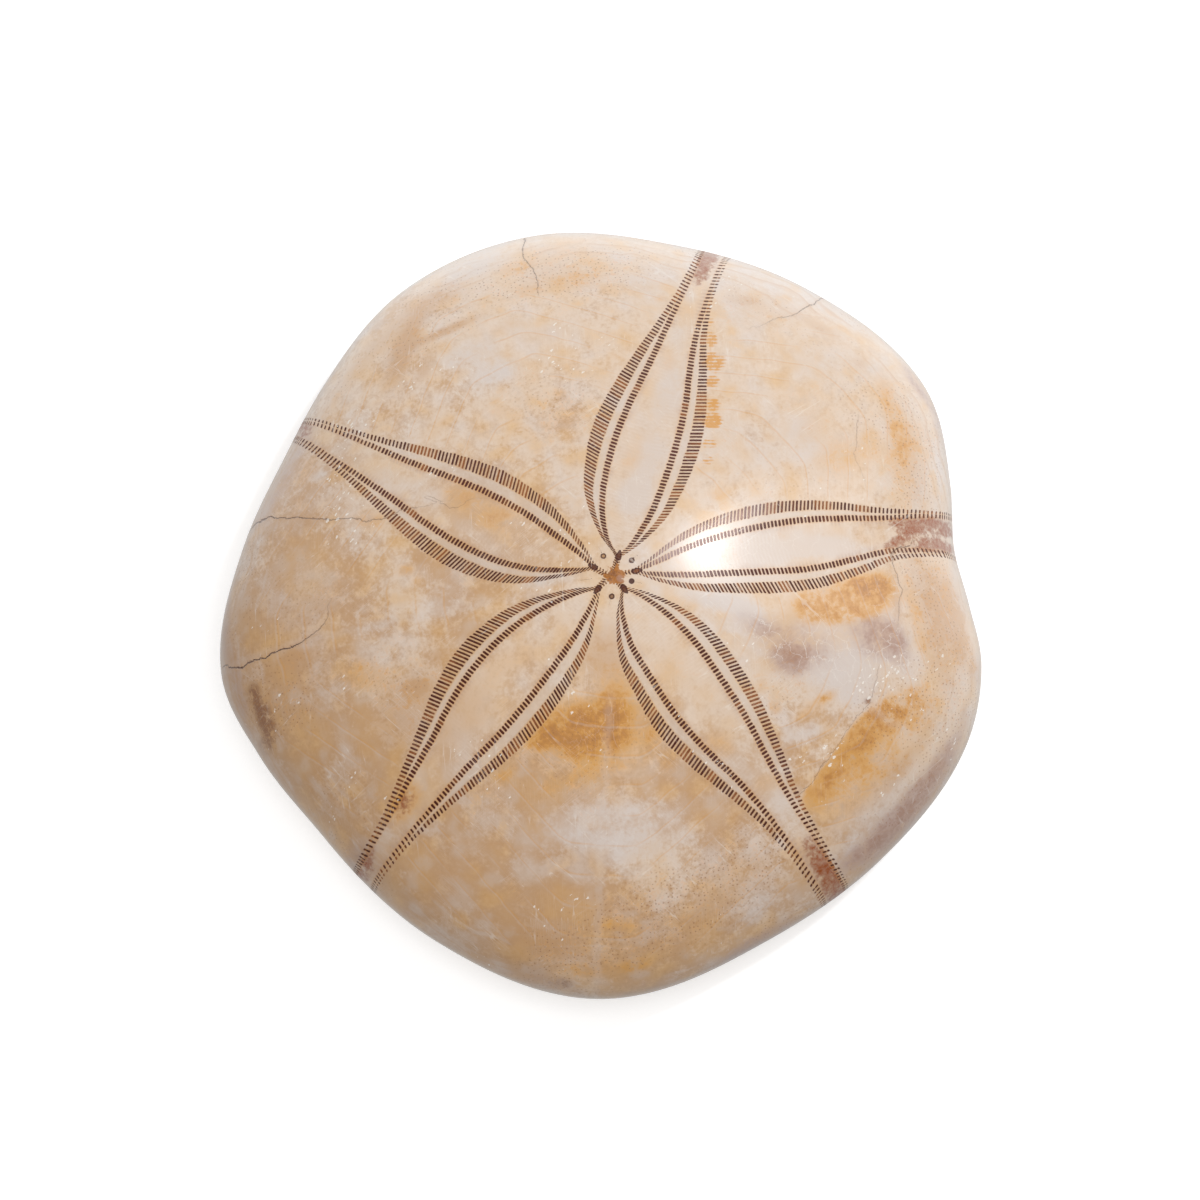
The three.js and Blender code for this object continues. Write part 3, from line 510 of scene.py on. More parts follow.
def petal_rows(x, y, past_edge):
    """Where each point lies against the nearest row of pores. In a petal's own axes u runs along it and
    v across it; past the edge u goes on by the length of surface. A slit leans, so its number belongs
    to the place u - lean * (distance outside the row), found by repeating that a few times. A row is
    named by 10 times its petal's number, plus 5 on the petal's left."""
    lean, slight = math.tan(math.radians(SLIT_LEAN)), math.tan(math.radians(PORE_LEAN))
    along = np.linspace(0, STATIONS[-1], 20 * STATIONS[-1] + 1)
    best = np.full(x.shape, FAR)
    names = ("slit_number", "outer_offset", "inner_offset", "slit_half", "slit_spacing", "slit_row",
             "petal_u", "petal_v")
    fields = {name: np.zeros(x.shape) for name in names}
    for number, (tip, azimuth, left, right) in enumerate(PETALS):
        u, v = in_axes(x, y, tip, azimuth)
        u = np.where(past_edge > 0, u + past_edge, u)
        for side, (widths, gap, length) in ((1, left), (-1, right)):
            width = curve_through(STATIONS, widths, along)
            pitch = curve_through(STATIONS, SLIT_PITCH, along) / np.sqrt(1 + np.gradient(width, along) ** 2)
            count = np.concatenate(((0,), np.cumsum(np.diff(along) / pitch[:-1])))
            distance = side * v
            base = u.copy()
            for _ in range(LEAN_ROUNDS):
                outside = distance - np.interp(base, along, width)
                shifted = np.where(outside > -LEAN_CHANGE, lean * outside,
                                   slight * (outside + LEAN_CHANGE) - lean * LEAN_CHANGE)
                base = 0.5 * base + 0.5 * (u - shifted)
            outside = distance - np.interp(base, along, width)
            beside = np.maximum(distance - np.interp(u, along, width), 0)
            score = np.where(distance >= 0, np.hypot(beside, 1.2 * np.minimum(u, 0)), FAR)
            nearer = score < best
            gaps = gap * curve_through(STATIONS, ROW_GAP, along)
            halves = length * curve_through(STATIONS, SLIT_HALF, along)
            values = (
                np.interp(base, along, count) + np.minimum(base, 0) / pitch[0],
                outside,
                outside + np.interp(base, along, gaps),
                np.interp(base, along, halves),
                np.interp(base, along, pitch) * math.cos(math.radians(SLIT_LEAN)),
                np.full(x.shape, 10.0 * number + (side > 0) * 5),
                u,
                v,
            )
            for name, value in zip(names, values):
                fields[name] = np.where(nearer, value, fields[name])
            best = np.minimum(best, score)
    return fields


def stain_amounts(x, y, shade):
    """How strongly each stain colours a point: the sum of soft ovals, each 1 at its middle and fading
    as exp(-d^3), where d is the distance in half lengths and half widths."""
    amounts = {}
    for kind, ovals in STAINS.items():
        total = np.zeros(x.shape)
        for ahead, aside, half_length, half_width, bearing, strength in ovals:
            along, across = in_axes(x, y, (ahead, aside), bearing)
            distance = np.hypot(along / half_length, across / half_width) / STAIN_SPREAD
            total += strength * np.exp(-(distance ** 3))
        if kind == "cut":
            start, end = CUT_LINE
            bearing = math.degrees(math.atan2(end[1] - start[1], end[0] - start[0]))
            _, beyond_cut = in_axes(x, y, start, bearing)
            total *= smooth(0.1, -0.3, beyond_cut)
        amounts["stain_" + kind] = total * shade
    return amounts


def crack_fields(x, y, shade):
    """Signed and plain distance to the nearest crack, and the crack's strength there, which changes
    evenly from its first point to its last."""
    nearest = np.full(x.shape, FAR)
    side = np.full(x.shape, FAR)
    strength = np.zeros(x.shape)
    for points, first, last in CRACKS:
        points = np.asarray(points, float)
        lengths = np.linalg.norm(np.diff(points, axis=0), axis=1)
        starts = np.concatenate(((0,), np.cumsum(lengths)))
        for k, length in enumerate(lengths):
            ahead, aside = points[k + 1] - points[k]
            along, across = in_axes(x, y, points[k], math.degrees(math.atan2(aside, ahead)))
            clamped = np.clip(along, 0, length)
            distance = np.hypot(across, along - clamped)
            nearer = distance < nearest
            share = (starts[k] + clamped) / starts[-1]
            side = np.where(nearer, np.sign(across) * distance, side)
            strength = np.where(nearer, first + (last - first) * share, strength)
            nearest = np.minimum(nearest, distance)
    return {
        "crack_side": np.clip(side, -CRACK_REACH, CRACK_REACH),
        "crack_near": np.minimum(nearest, CRACK_REACH),
        "crack_strength": strength * shade,
    }


def cloud(points, fineness, octaves, seed):
    """Soft noise at each point, about 0.5: random slopes at the corners of a cubic lattice, blended with
    6t^5 - 15t^4 + 10t^3, and summed over octaves that are each twice as fine and half as strong."""
    random = np.random.default_rng(seed)
    slopes = random.normal(size=(256, 3))
    shuffle = random.permutation(256)
    total = np.zeros(len(points))
    for octave in range(octaves):
        place = points * fineness * 2 ** octave + OCTAVE_SHIFT * (octave + 1)
        cell = np.floor(place).astype(int)
        t = place - cell
        ease = t ** 3 * (t * (t * 6 - 15) + 10)
        for corner in np.ndindex(2, 2, 2):
            a, b, c = ((cell + corner) % 256).T
            pick = shuffle[(shuffle[(shuffle[a] + b) % 256] + c) % 256]
            share = np.where(corner, ease, 1 - ease).prod(-1)
            total += ((t - corner) * slopes[pick]).sum(-1) * share * 0.5 ** octave
    return 0.5 + CLOUD_STRENGTH * (total - total.mean()) / total.std()


def cloud_fields(x, y, z):
    """The clouds that the finish reads, from the broadest to the smallest. The broadest is also raised
    towards the front and the left and lowered a little towards the edge, so the ground is paler ahead and
    to the left and darker near the edge."""
    points = np.stack((x, y, z), -1)
    paler = PALER_AHEAD * x + PALER_LEFT * y - DARKER_EDGE * (x ** 2 + y ** 2) + PALER_ALL
    return {
        "cloud_broad": cloud(points, 0.07, 4, 1) + paler,
        "cloud_rust": cloud(points, 0.11, 3, 2),
        "cloud_chips": cloud(points, 0.12, 3, 3),
        "cloud_drift": cloud(points, 0.16, 3, 4),
        "cloud_patch": cloud(points, 0.38, 2, 5),
    }


def silt_field(x, y, beyond, rough):
    """Silt below: in the mouth, in the vent and along the five furrows."""
    from_mouth = np.hypot(x - MOUTH_AHEAD, y)
    silt = smooth(5.8, 3.0, from_mouth + (rough - 0.5) * 8)
    vent = np.hypot((x + VENT_BEHIND) / VENT_HALF_LENGTH, y / VENT_HALF_WIDTH)
    silt = np.maximum(silt, smooth(0.95, 0.60, vent + (rough - 0.5) * 1.5))
    bearing = np.degrees(np.arctan2(y, x - MOUTH_AHEAD))
    furrow = radiating(bearing, AMBULACRA, SILT_HALF_WIDTH) * smooth(6, 10, from_mouth) * 0.4
    return {"silt": np.maximum(silt, furrow) * (beyond > 0.5)}


def plate_fields(x, y):
    """Place in the nearest field between petals: length along its seam, signed distance across it, and
    the number of plates from the top. A plate's edge lies level near the seam, and further out turns up
    alongside the petal."""
    along, across = nearest_spoke(x, y, APEX, SEAMS)
    aside = abs(across)
    turned_up = 0.95 * (np.hypot(np.maximum(aside - PLATE_TURN, 0), 1.5) - 1.5)
    level = (along + 0.08 * aside + turned_up) / PLATE_HEIGHT
    return {"field_along": along, "field_across": across, "plate_level": level}


def skin_places(x, y, runs, edge_run, last_run):
    """Flat places that don't stretch down the steep edge: the plan place moved out or in until its distance
    from the middle is the run from the top, or below the edge the run from the lower pole."""
    below = edge_run * (last_run - runs) / (last_run - edge_run)
    radius = np.where(runs > edge_run, below, runs)
    scale = radius / np.maximum(np.hypot(x, y), 0.5)
    return np.stack((x * scale, y * scale, np.zeros(x.shape)), -1)


def mouth_rows(x, y):
    """Five leaf-shaped double rows of pores round the mouth: place along and across the nearest one."""
    along, across = nearest_spoke(x, y, (MOUTH_AHEAD, 0), AMBULACRA)
    return {"mouth_along": along, "mouth_across": across}


# ---------------------------------------------------------------- meshes

def closed_mesh(name, points, rings, sectors):
    """A smooth closed mesh: quads between neighbouring rings and a fan of triangles at each pole, all
    facing outwards. The points are the upper pole, the rings from the top, and the lower pole."""
    s = np.arange(sectors)
    after = (s + 1) % sectors
    rows = (1 + sectors * np.arange(rings - 1))[:, None]
    quads = np.stack((rows + s, rows + sectors + s, rows + sectors + after, rows + after), -1)
    quads = quads.reshape(-1, 4)
    last = 1 + sectors * (rings - 1)
    top = np.stack((np.zeros(sectors, int), 1 + s, 1 + after), -1)
    bottom = np.stack((last + s, np.full(sectors, last + sectors), last + after), -1)
    mesh = bpy.data.meshes.new(name)
    mesh.from_pydata(points, [], quads.tolist() + top.tolist() + bottom.tolist())
    mesh.validate()
    mesh.polygons.foreach_set("use_smooth", np.ones(len(mesh.polygons), bool))
    return mesh


# The flat map for painting, in shares of its square
DISC_RADIUS = 0.468
CORNER_RADIUS = 0.222
CORNERS = np.array(((0.998, 0.998), (0.002, 0.998), (0.002, 0.002), (0.998, 0.002)))


def paint_map(mesh, run, edge_run, sectors):
    """A flat map for painting: the upper side is a disc in the middle of the square, with its radius in
    step with the run from the top, and the lower side is cut in four sectors that fill the corners."""
    corner = np.empty(len(mesh.loops), np.int32)
    mesh.loops.foreach_get("vertex_index", corner)
    totals = np.empty(len(mesh.polygons), np.int32)
    mesh.polygons.foreach_get("loop_total", totals)
    face = np.repeat(np.arange(len(mesh.polygons)), totals)
    sector = np.where(corner > 0, (corner - 1) % sectors, 0)
    pole = (corner == 0) | (corner == len(mesh.vertices) - 1)
    first = np.full(len(mesh.polygons), sectors)
    np.minimum.at(first, face[~pole], sector[~pole])
    last = np.zeros(len(mesh.polygons), int)
    np.maximum.at(last, face[~pole], sector[~pole])
    wraps = last - first > 1
    face_sector = np.where(wraps, sectors - 1, first)
    unrolled = np.where(wraps[face] & (sector == 0), sectors, sector)
    unrolled = np.where(pole, face_sector[face] + 0.5, unrolled)
    angle = 2 * math.pi * unrolled / sectors
    outward = np.stack((np.cos(angle), np.sin(angle)), -1)
    longest = np.zeros(len(mesh.polygons))
    np.maximum.at(longest, face, run[corner])
    lower = longest[face] > edge_run + 1e-6
    disc = DISC_RADIUS * run[corner] / edge_run
    quarter = CORNERS[(face_sector[face] * 4) // sectors]
    inner = CORNER_RADIUS * (run.max() - run[corner]) / (run.max() - edge_run)
    places = np.where(lower[:, None], quarter - inner[:, None] * outward, 0.5 + disc[:, None] * outward)
    layer = mesh.uv_layers.new(name="OFBake")
    layer.data.foreach_set("uv", places.astype(np.float32).ravel())


def level_runs(runs, sectors, dome_rings, edge_run):
    """Runs scaled bearing by bearing, so that the edge has the same run all round."""
    grid = runs[1:-1].reshape(-1, sectors)
    level = edge_run.mean()
    above = grid[:dome_rings] * level / edge_run
    below = level + (grid[dome_rings:] - edge_run) * (grid[-1].mean() - level) / (grid[-1] - edge_run)
    return np.concatenate(((0,), above.ravel(), below.ravel(), (grid[-1].mean() + LAST_RUN,)))


def past_edge_runs(grid, run, dome_rings):
    """How much further each point lies from the top along the surface than in plan, counted from the
    ring after which the surface turns down."""
    near_edge = int(dome_rings * NEAR_EDGE)
    in_plan = np.linalg.norm(grid[..., :2] - np.asarray(APEX), axis=-1)
    surplus = (run - run[near_edge]) - (in_plan - in_plan[near_edge])
    surplus[:near_edge + 1] = 0
    return np.concatenate(((0,), surplus.ravel(), (surplus[-1].mean(),)))


def finish_fields(x, y, z, runs, widest, beyond, past_edge):
    """Every number that the finish reads from the points of the shell, by name."""
    fields = petal_rows(x, y, past_edge)
    fields.update(stain_amounts(x, y, 1 - 0.7 * beyond))
    fields.update(crack_fields(x, y, 1 - beyond))
    fields.update(plate_fields(x, y))
    fields.update(mouth_rows(x, y))
    fields.update(cloud_fields(x, y, z))
    fields.update(silt_field(x, y, beyond, fields["cloud_patch"]))
    fields["beyond_edge"] = beyond
    fields["edge_nearness"] = runs / widest
    return fields


def fitted(points, fit):
    """The points scaled about their middle to the share fit of the box of the frame's solid."""
    low, high = points.min(0), points.max(0)
    box_low, box_high = np.asarray(TEST_LOW), np.asarray(TEST_HIGH)
    share = (points - (low + high) / 2) / (high - low)
    return (box_low + box_high) / 2 + share * (box_high - box_low) * fit


def add_test(shape):
    """The whole shell as one smooth closed mesh, fitted to the frame's solid, with its fields."""
    grid, top, bottom, run = test_grid(shape)
    rings, sectors = grid.shape[:2]
    dome_rings = shape.dome_rings
    points = np.concatenate((top, grid.reshape(-1, 3), bottom))
    runs = np.concatenate(((0,), run.ravel(), (run[-1].mean() + LAST_RUN,)))
    edge_run = run[dome_rings - 1]
    widest = edge_run.mean()

    ring = np.concatenate(((0,), np.repeat(np.arange(1, rings + 1), sectors), (rings + 1,)))
    beyond = smooth(dome_rings - 1, dome_rings + shape.edge_rings, ring)
    middle = (points.min(0) + points.max(0)) / 2
    x, y = (points - middle)[:, :2].T
    past_edge = past_edge_runs(grid, run, dome_rings)
    fields = finish_fields(x, y, points[:, 2], runs, widest, beyond, past_edge)

    mesh = closed_mesh("polished_sand_dollar", fitted(points, shape.fit), rings, sectors)
    for name, values in fields.items():
        layer = mesh.attributes.new(name, "FLOAT", "POINT")
        layer.data.foreach_set("value", values.astype(np.float32))
    skin = skin_places(points[:, 0] - APEX[0], points[:, 1] - APEX[1], runs, widest, runs[-1])
    layer = mesh.attributes.new("skin", "FLOAT_VECTOR", "POINT")
    layer.data.foreach_set("vector", skin.astype(np.float32).ravel())
    paint_map(mesh, level_runs(runs, sectors, dome_rings, edge_run), widest, sectors)
    mesh.update()
    return bpy.data.objects.new("polished_sand_dollar", mesh)


# ---------------------------------------------------------------- shader expressions

class Wire:
    """A number, vector or colour on its way through a material, with the operators of ordinary maths."""

    def __init__(self, finish, socket):
        self.finish = finish
        self.socket = socket

    def __add__(self, other):
        return self.finish.maths("ADD", self, other)

    def __sub__(self, other):
        return self.finish.maths("SUBTRACT", self, other)

    def __rsub__(self, other):
        return self.finish.maths("SUBTRACT", other, self)

    def __mul__(self, other):
        return self.finish.maths("MULTIPLY", self, other)

    def __truediv__(self, other):
        return self.finish.maths("DIVIDE", self, other)

    def __abs__(self):
        return self.finish.maths("ABSOLUTE", self)

    __radd__ = __add__
    __rmul__ = __mul__

    def is_vector(self):
        return self.socket.type in ("VECTOR", "RGBA")


class Finish:
    """One material, built from expressions on wires."""

    def __init__(self, name):
        self.material = bpy.data.materials.new(name)
        self.material.use_nodes = True
        self.tree = self.material.node_tree
        self.tree.nodes.clear()

    def node(self, kind, settings=None, inputs=None, output=0):
        """Adds a node: its settings come first, then the values or links of its sockets. Sockets are
        named by identifier. Gives back the wire of one output."""
        node = self.tree.nodes.new(kind)
        for name, value in (settings or {}).items():
            setattr(node, name, value)
        sockets = {socket.identifier: socket for socket in node.inputs}
        for name, value in (inputs or {}).items():
            if isinstance(value, Wire):
                self.tree.links.new(value.socket, sockets[name])
            else:
                sockets[name].default_value = value
        outputs = {socket.identifier: socket for socket in node.outputs}
        return Wire(self, node.outputs[output] if isinstance(output, int) else outputs[output])

    def maths(self, operation, *values):
        """A Math node, or a Vector Math node where a value is a vector."""
        vectors = [isinstance(v, tuple) or (isinstance(v, Wire) and v.is_vector()) for v in values]
        if not any(vectors):
            names = ("Value", "Value_001", "Value_002")
            return self.node("ShaderNodeMath", {"operation": operation}, dict(zip(names, values)))
        if operation == "MULTIPLY" and not all(vectors):
            vector, number = values if vectors[0] else values[::-1]
            scaled = {"Vector": vector, "Scale": number}
            return self.node("ShaderNodeVectorMath", {"operation": "SCALE"}, scaled)
        names = ("Vector", "Vector_001")
        return self.node("ShaderNodeVectorMath", {"operation": operation}, dict(zip(names, values)))

    def length(self, vector):
        return self.node("ShaderNodeVectorMath", {"operation": "LENGTH"}, {"Vector": vector}, "Value")

    def vector(self, x, y, z=0.0):
        return self.node("ShaderNodeCombineXYZ", None, {"X": x, "Y": y, "Z": z})

    def parts(self, vector):
        separate = self.node("ShaderNodeSeparateXYZ", None, {"Vector": vector}).socket.node
        return [Wire(self, separate.outputs[k]) for k in range(3)]

    def turned(self, vector, angle, lengths):
        """The vector in axes turned about the upright by an angle in degrees, in units of the lengths."""
        return self.node("ShaderNodeMapping", {"vector_type": "TEXTURE"}, {
            "Vector": vector, "Rotation": (0.0, 0.0, math.radians(angle)), "Scale": lengths})

    def field(self, name, output="Fac"):
        return self.node("ShaderNodeAttribute", {"attribute_name": name}, None, output)

    def step(self, value, low, high, begin=0.0, end=1.0):
        """Eases from begin to end while the value goes from low to high; low may be above high."""
        return self.node("ShaderNodeMapRange", {"interpolation_type": "SMOOTHSTEP"}, {
            "Value": value, "From Min": low, "From Max": high, "To Min": begin, "To Max": end})

    def noise(self, vector, scale, detail=2.0, roughness=0.5):
        return self.node("ShaderNodeTexNoise", {"noise_dimensions": "2D"}, {
            "Vector": vector, "Scale": scale, "Detail": detail, "Roughness": roughness}, "Fac")

    def noise_along(self, value, scale, detail, roughness):
        """Noise that changes with one number only."""
        return self.node("ShaderNodeTexNoise", {"noise_dimensions": "1D"}, {
            "W": value, "Scale": scale, "Detail": detail, "Roughness": roughness}, "Fac")

    def cells(self, vector, scale, randomness=1.0):
        """Distance to the middle of the nearest cell, and that cell's three random numbers."""
        distance = self.node("ShaderNodeTexVoronoi", {"voronoi_dimensions": "2D"}, {
            "Vector": vector, "Scale": scale, "Randomness": randomness}, "Distance")
        return distance, self.parts(Wire(self, distance.socket.node.outputs["Color"]))

    def dice(self, a, b, c=0.0):
        """Three random numbers for a cell named by three numbers."""
        colour = self.node("ShaderNodeTexWhiteNoise", {"noise_dimensions": "3D"},
                           {"Vector": self.vector(a, b, c)}, "Color")
        return self.parts(colour)

    def blend(self, mask, low, high):
        """The colour low where the mask is 0 and high where it is 1."""
        return self.node("ShaderNodeMix", {"data_type": "RGBA", "clamp_factor": True}, {
            "Factor_Float": mask, "A_Color": low, "B_Color": high}, "Result_Color")

    def warm_shade(self, colour, amount):
        """The colour made lighter and cooler by a positive amount, darker and warmer by a negative one."""
        factors = self.vector(amount * 0.60 + 1, amount + 1, amount * 1.60 + 1)
        return self.node("ShaderNodeMix", {"data_type": "RGBA", "blend_type": "MULTIPLY"}, {
            "Factor_Float": 1.0, "A_Color": colour, "B_Color": factors}, "Result_Color")

    def most(self, a, b):
        return self.maths("MAXIMUM", a, b)

    def limit(self, value):
        return self.node("ShaderNodeClamp", None, {"Value": value, "Min": 0.0, "Max": 1.0})

    def folded(self, value, size):
        """The value folded back and forth between 0 and a size."""
        return self.maths("PINGPONG", value, size)

    def surface(self, shader):
        """Ends the material with its shader."""
        output = self.tree.nodes.new("ShaderNodeOutputMaterial")
        self.tree.links.new(shader.socket, output.inputs["Surface"])


def tone(red, green, blue):
    """A colour given as it looks on screen, from 0 to 255, turned into light."""
    shares = (c / 255 for c in (red, green, blue))
    light = tuple(s / 12.92 if s <= 0.04045 else ((s + 0.055) / 1.055) ** 2.4 for s in shares)
    return light + (1.0,)


# ---------------------------------------------------------------- the stone's finish, layer by layer

# Each kind of stain: its colour, how much it covers, and how ragged it is
STAIN_LAYERS = (
    ("pale", "mist", 0.85, 0.7),
    ("tan", "tan", 0.80, 1.0),
    ("violet", "violet", 0.78, 0.9),
    ("cut", "gold", 0.80, 1.2),
    ("ochre", "gold", 0.84, 1.1),
    ("umber", "umber", 0.78, 1.9),
)

# Each set of polishing scratches: bearing, spacing in mm, a shift of the noise, and the cloud that thins it
SCRATCHES = (
    (28, 0.50, 3.0, "cloud_rust"),
    (-52, 0.60, 11.0, "cloud_drift"),
    (84, 0.45, 19.0, "cloud_chips"),
)
SCRATCH_LENGTH = 14.0


def slit_stripes(f):
    """A wave with one crest at each slit of a row, from -1 to 1."""
    return f.maths("COSINE", f.field("slit_number") * (2 * math.pi))


def ground_layer(f, look, ragged, grain):
    """Creamy limestone: broad clouds of warm sand and cool grey, yellow clouds, and fine grain. The
    ragged noise roughens every cloud's edge."""
    rough = (ragged - 0.5) * 0.60 + (grain - 0.5) * 0.24
    broad, drift, patch = (f.field(name) + rough for name in ("cloud_broad", "cloud_drift", "cloud_patch"))
    colour = f.blend(f.step(broad, 0.34, 0.66), look.sand, look.cream)
    colour = f.blend(f.step(drift, 0.48, 0.84) * 0.44, colour, look.mist)
    colour = f.blend(f.step(drift, 0.52, 0.22) * 0.40, colour, look.honey)
    colour = f.blend(f.step(patch, 0.50, 0.80) * 0.52, colour, look.honey)
    colour = f.blend(f.step(patch, 0.48, 0.20) * 0.34, colour, look.mist)
    lively = f.limit(f.field("stain_freckled")) * 0.34 + 0.18
    return f.warm_shade(colour, (grain - 0.5) * lively + (ragged - 0.5) * 0.24 + (broad - 0.5) * 0.10)


def stain_layer(f, colour, look, ragged, grain):
    """The stains, each broken up by noise so that its edge is ragged, and soft sprinkles of rust."""
    breakup = (ragged - 0.5) * 2.2 + (grain - 0.5) * 0.9
    for kind, shade, cover, raggedness in STAIN_LAYERS:
        amount = f.field("stain_" + kind) * (1 + breakup * raggedness)
        colour = f.blend(f.step(amount, 0.0, 1.0) * cover, colour, getattr(look, shade))
    blotched = f.field("stain_violet") * (1 + breakup * 1.4)
    colour = f.blend(f.step(blotched, 0.65, 1.7) * 0.50, colour, look.plum)
    deep = (f.field("stain_ochre") + f.field("stain_cut") * 0.75) * (1 + breakup * 1.1)
    colour = f.blend(f.step(deep, 0.5, 1.4) * 0.85, colour, look.ochre)
    colour = f.blend(f.step(deep, 1.15, 2.0) * 0.30, colour, look.umber)
    where = f.limit(f.step(f.field("cloud_rust"), 0.48, 0.64) * 0.5 + f.field("stain_freckled"))
    spots = f.step(grain + (ragged - 0.5) * 0.7 + where * 0.08, 0.62, 0.78) * where
    colour = f.blend(spots * 0.30, colour, look.rust)
    combed = f.field("stain_comb") * (1 + breakup * 1.7 + slit_stripes(f) * 0.45)
    return f.blend(f.step(combed, 0.25, 0.95) * 0.88, colour, look.rust)


def growth_layer(f, colour, look):
    """Faint growth lines that follow the margin."""
    wavy = f.field("edge_nearness") * 55 + (f.field("cloud_broad") - 0.5) * 7
    lines = f.noise_along(wavy, 1.0, 3.0, 0.6)
    margin = f.step(f.field("edge_nearness"), 0.66, 0.92)
    margin = margin * f.step(f.field("cloud_drift"), 0.40, 0.60)
    colour = f.blend(f.step(lines, 0.50, 0.72) * margin * 0.44, colour, look.tan)
    return f.blend(f.step(lines, 0.50, 0.30) * margin * 0.22, colour, look.mist)


def plate_layer(f, colour, look, above):
    """Seams between the plates of each field: a soft pale zigzag down its middle, and across it thin rusty
    lines with a pale line beside them."""
    along, across, level = f.field("field_along"), f.field("field_across"), f.field("plate_level")
    shift = (f.field("cloud_patch") - 0.5) * 1.6
    wavy = level + shift * 0.10
    zigzag = f.folded(wavy, 0.5) * 0.7 - 0.18
    middle = f.step(abs(across + zigzag + shift * 0.4), 0.85, 0.05) * f.step(along, 10.0, 16.0)
    whole = wavy + 0.5
    between = (whole - f.maths("FLOOR", whole) - 0.5) * PLATE_HEIGHT
    rusty = f.step(abs(between), 0.16, 0.03)
    healed = f.step(abs(between - 0.26), 0.20, 0.04)
    clear = f.step(along, 9.0, 14.0) * f.step(f.field("edge_nearness"), 0.92, 0.78)
    clear = clear * f.step(f.field("outer_offset"), 0.4, 1.6) * above
    shown = f.step(f.field("cloud_rust"), 0.60, 0.44) * clear
    colour = f.blend(f.limit(healed * 0.8) * shown * 0.22, colour, look.mist)
    colour = f.blend(rusty * shown * 0.26, colour, look.rust)
    return f.blend(middle * above * 0.18, colour, look.mist)


def web_layer(f, skin, colour, look, ragged):
    """A web of fine pale healed cracks over the violet patches."""
    drift = f.vector(f.field("cloud_patch"), ragged) * 2.6
    edge = f.node("ShaderNodeTexVoronoi", {"voronoi_dimensions": "2D", "feature": "DISTANCE_TO_EDGE"},
                  {"Vector": skin + drift, "Scale": 0.55})
    where = f.field("stain_violet") * 1.4 + f.field("stain_ochre") * 0.2 + f.field("stain_pale") * 0.4
    where = f.limit(where)
    where = where * f.step(f.field("edge_nearness"), 0.88, 0.76)
    web = f.step(edge, 0.034, 0.002) * where * f.step(f.field("cloud_chips"), 0.36, 0.52)
    return f.blend(web * 0.50, colour, look.chip)


def slit_mask(f, number, offset, half, thickness, spacing, wobble):
    """A row of round-ended slits: the distance to each slit's middle line, less its thickness. Random
    numbers that belong to the slit change its length, thickness and place."""
    index = f.maths("FLOOR", number + 0.5)
    dice = f.dice(index, f.field("slit_row"), wobble)
    across = (number - index + (dice[0] - 0.5) * 0.07) * spacing
    beyond = f.most(abs(offset + (dice[1] - 0.5) * 0.07) - half * (dice[2] * 0.14 + 0.92), 0.0)
    distance = f.length(f.vector(beyond, across)) - thickness * (dice[0] * 0.22 + 0.88)
    return distance, dice


def petal_layer(f, colour, look, above, ragged, grain):
    """The ground of the petals: paler inside, a smooth band between slits and pores, a violet halo and
    combed shade along the pores, and the rusty far ends."""
    outer, inner = f.field("outer_offset"), f.field("inner_offset")
    half, along = f.field("slit_half"), f.field("petal_u")

    inside = f.step(inner, 0.0, -0.6) * f.step(along, 0.5, 3.0) * above
    band = f.step(inner, 0.05, 0.40) * f.step(outer + half, 0.05, -0.25) * above
    colour = f.blend(inside * 0.26, colour, look.cream)
    colour = f.blend(band * 0.55, colour, look.band)

    stripes = slit_stripes(f)
    halo = f.step(inner, -1.3, -0.2) * f.step(inner, 0.4, 0.0) * f.step(f.field("cloud_patch"), 0.40, 0.62)
    halo = halo * above * (stripes * 0.18 + 0.34) * f.step(along, 3.0, 8.0)
    colour = f.blend(halo, colour, look.violet)
    combed = f.step(inner, 0.1, -0.5) * f.step(inner, -4.5, -1.0) * above
    combed = combed * f.step(f.field("cloud_drift"), 0.36, 0.60)
    colour = f.warm_shade(colour, stripes * combed * 0.025)

    breakup = (ragged - 0.5) * 2.4 + (grain - 0.5) * 1.8
    ends = f.step(f.field("stain_petal_end") * (1 + breakup) * f.step(inner, 0.45, -0.15), 0.12, 0.80)
    colour = f.blend(f.step(ends, 0.0, 0.5) * 0.50, colour, look.plum)
    patchy = f.limit((ragged - 0.5) * 1.3 + (grain - 0.5) * 1.3 + 0.60)
    return f.blend(ends * patchy, colour, look.bark), ends


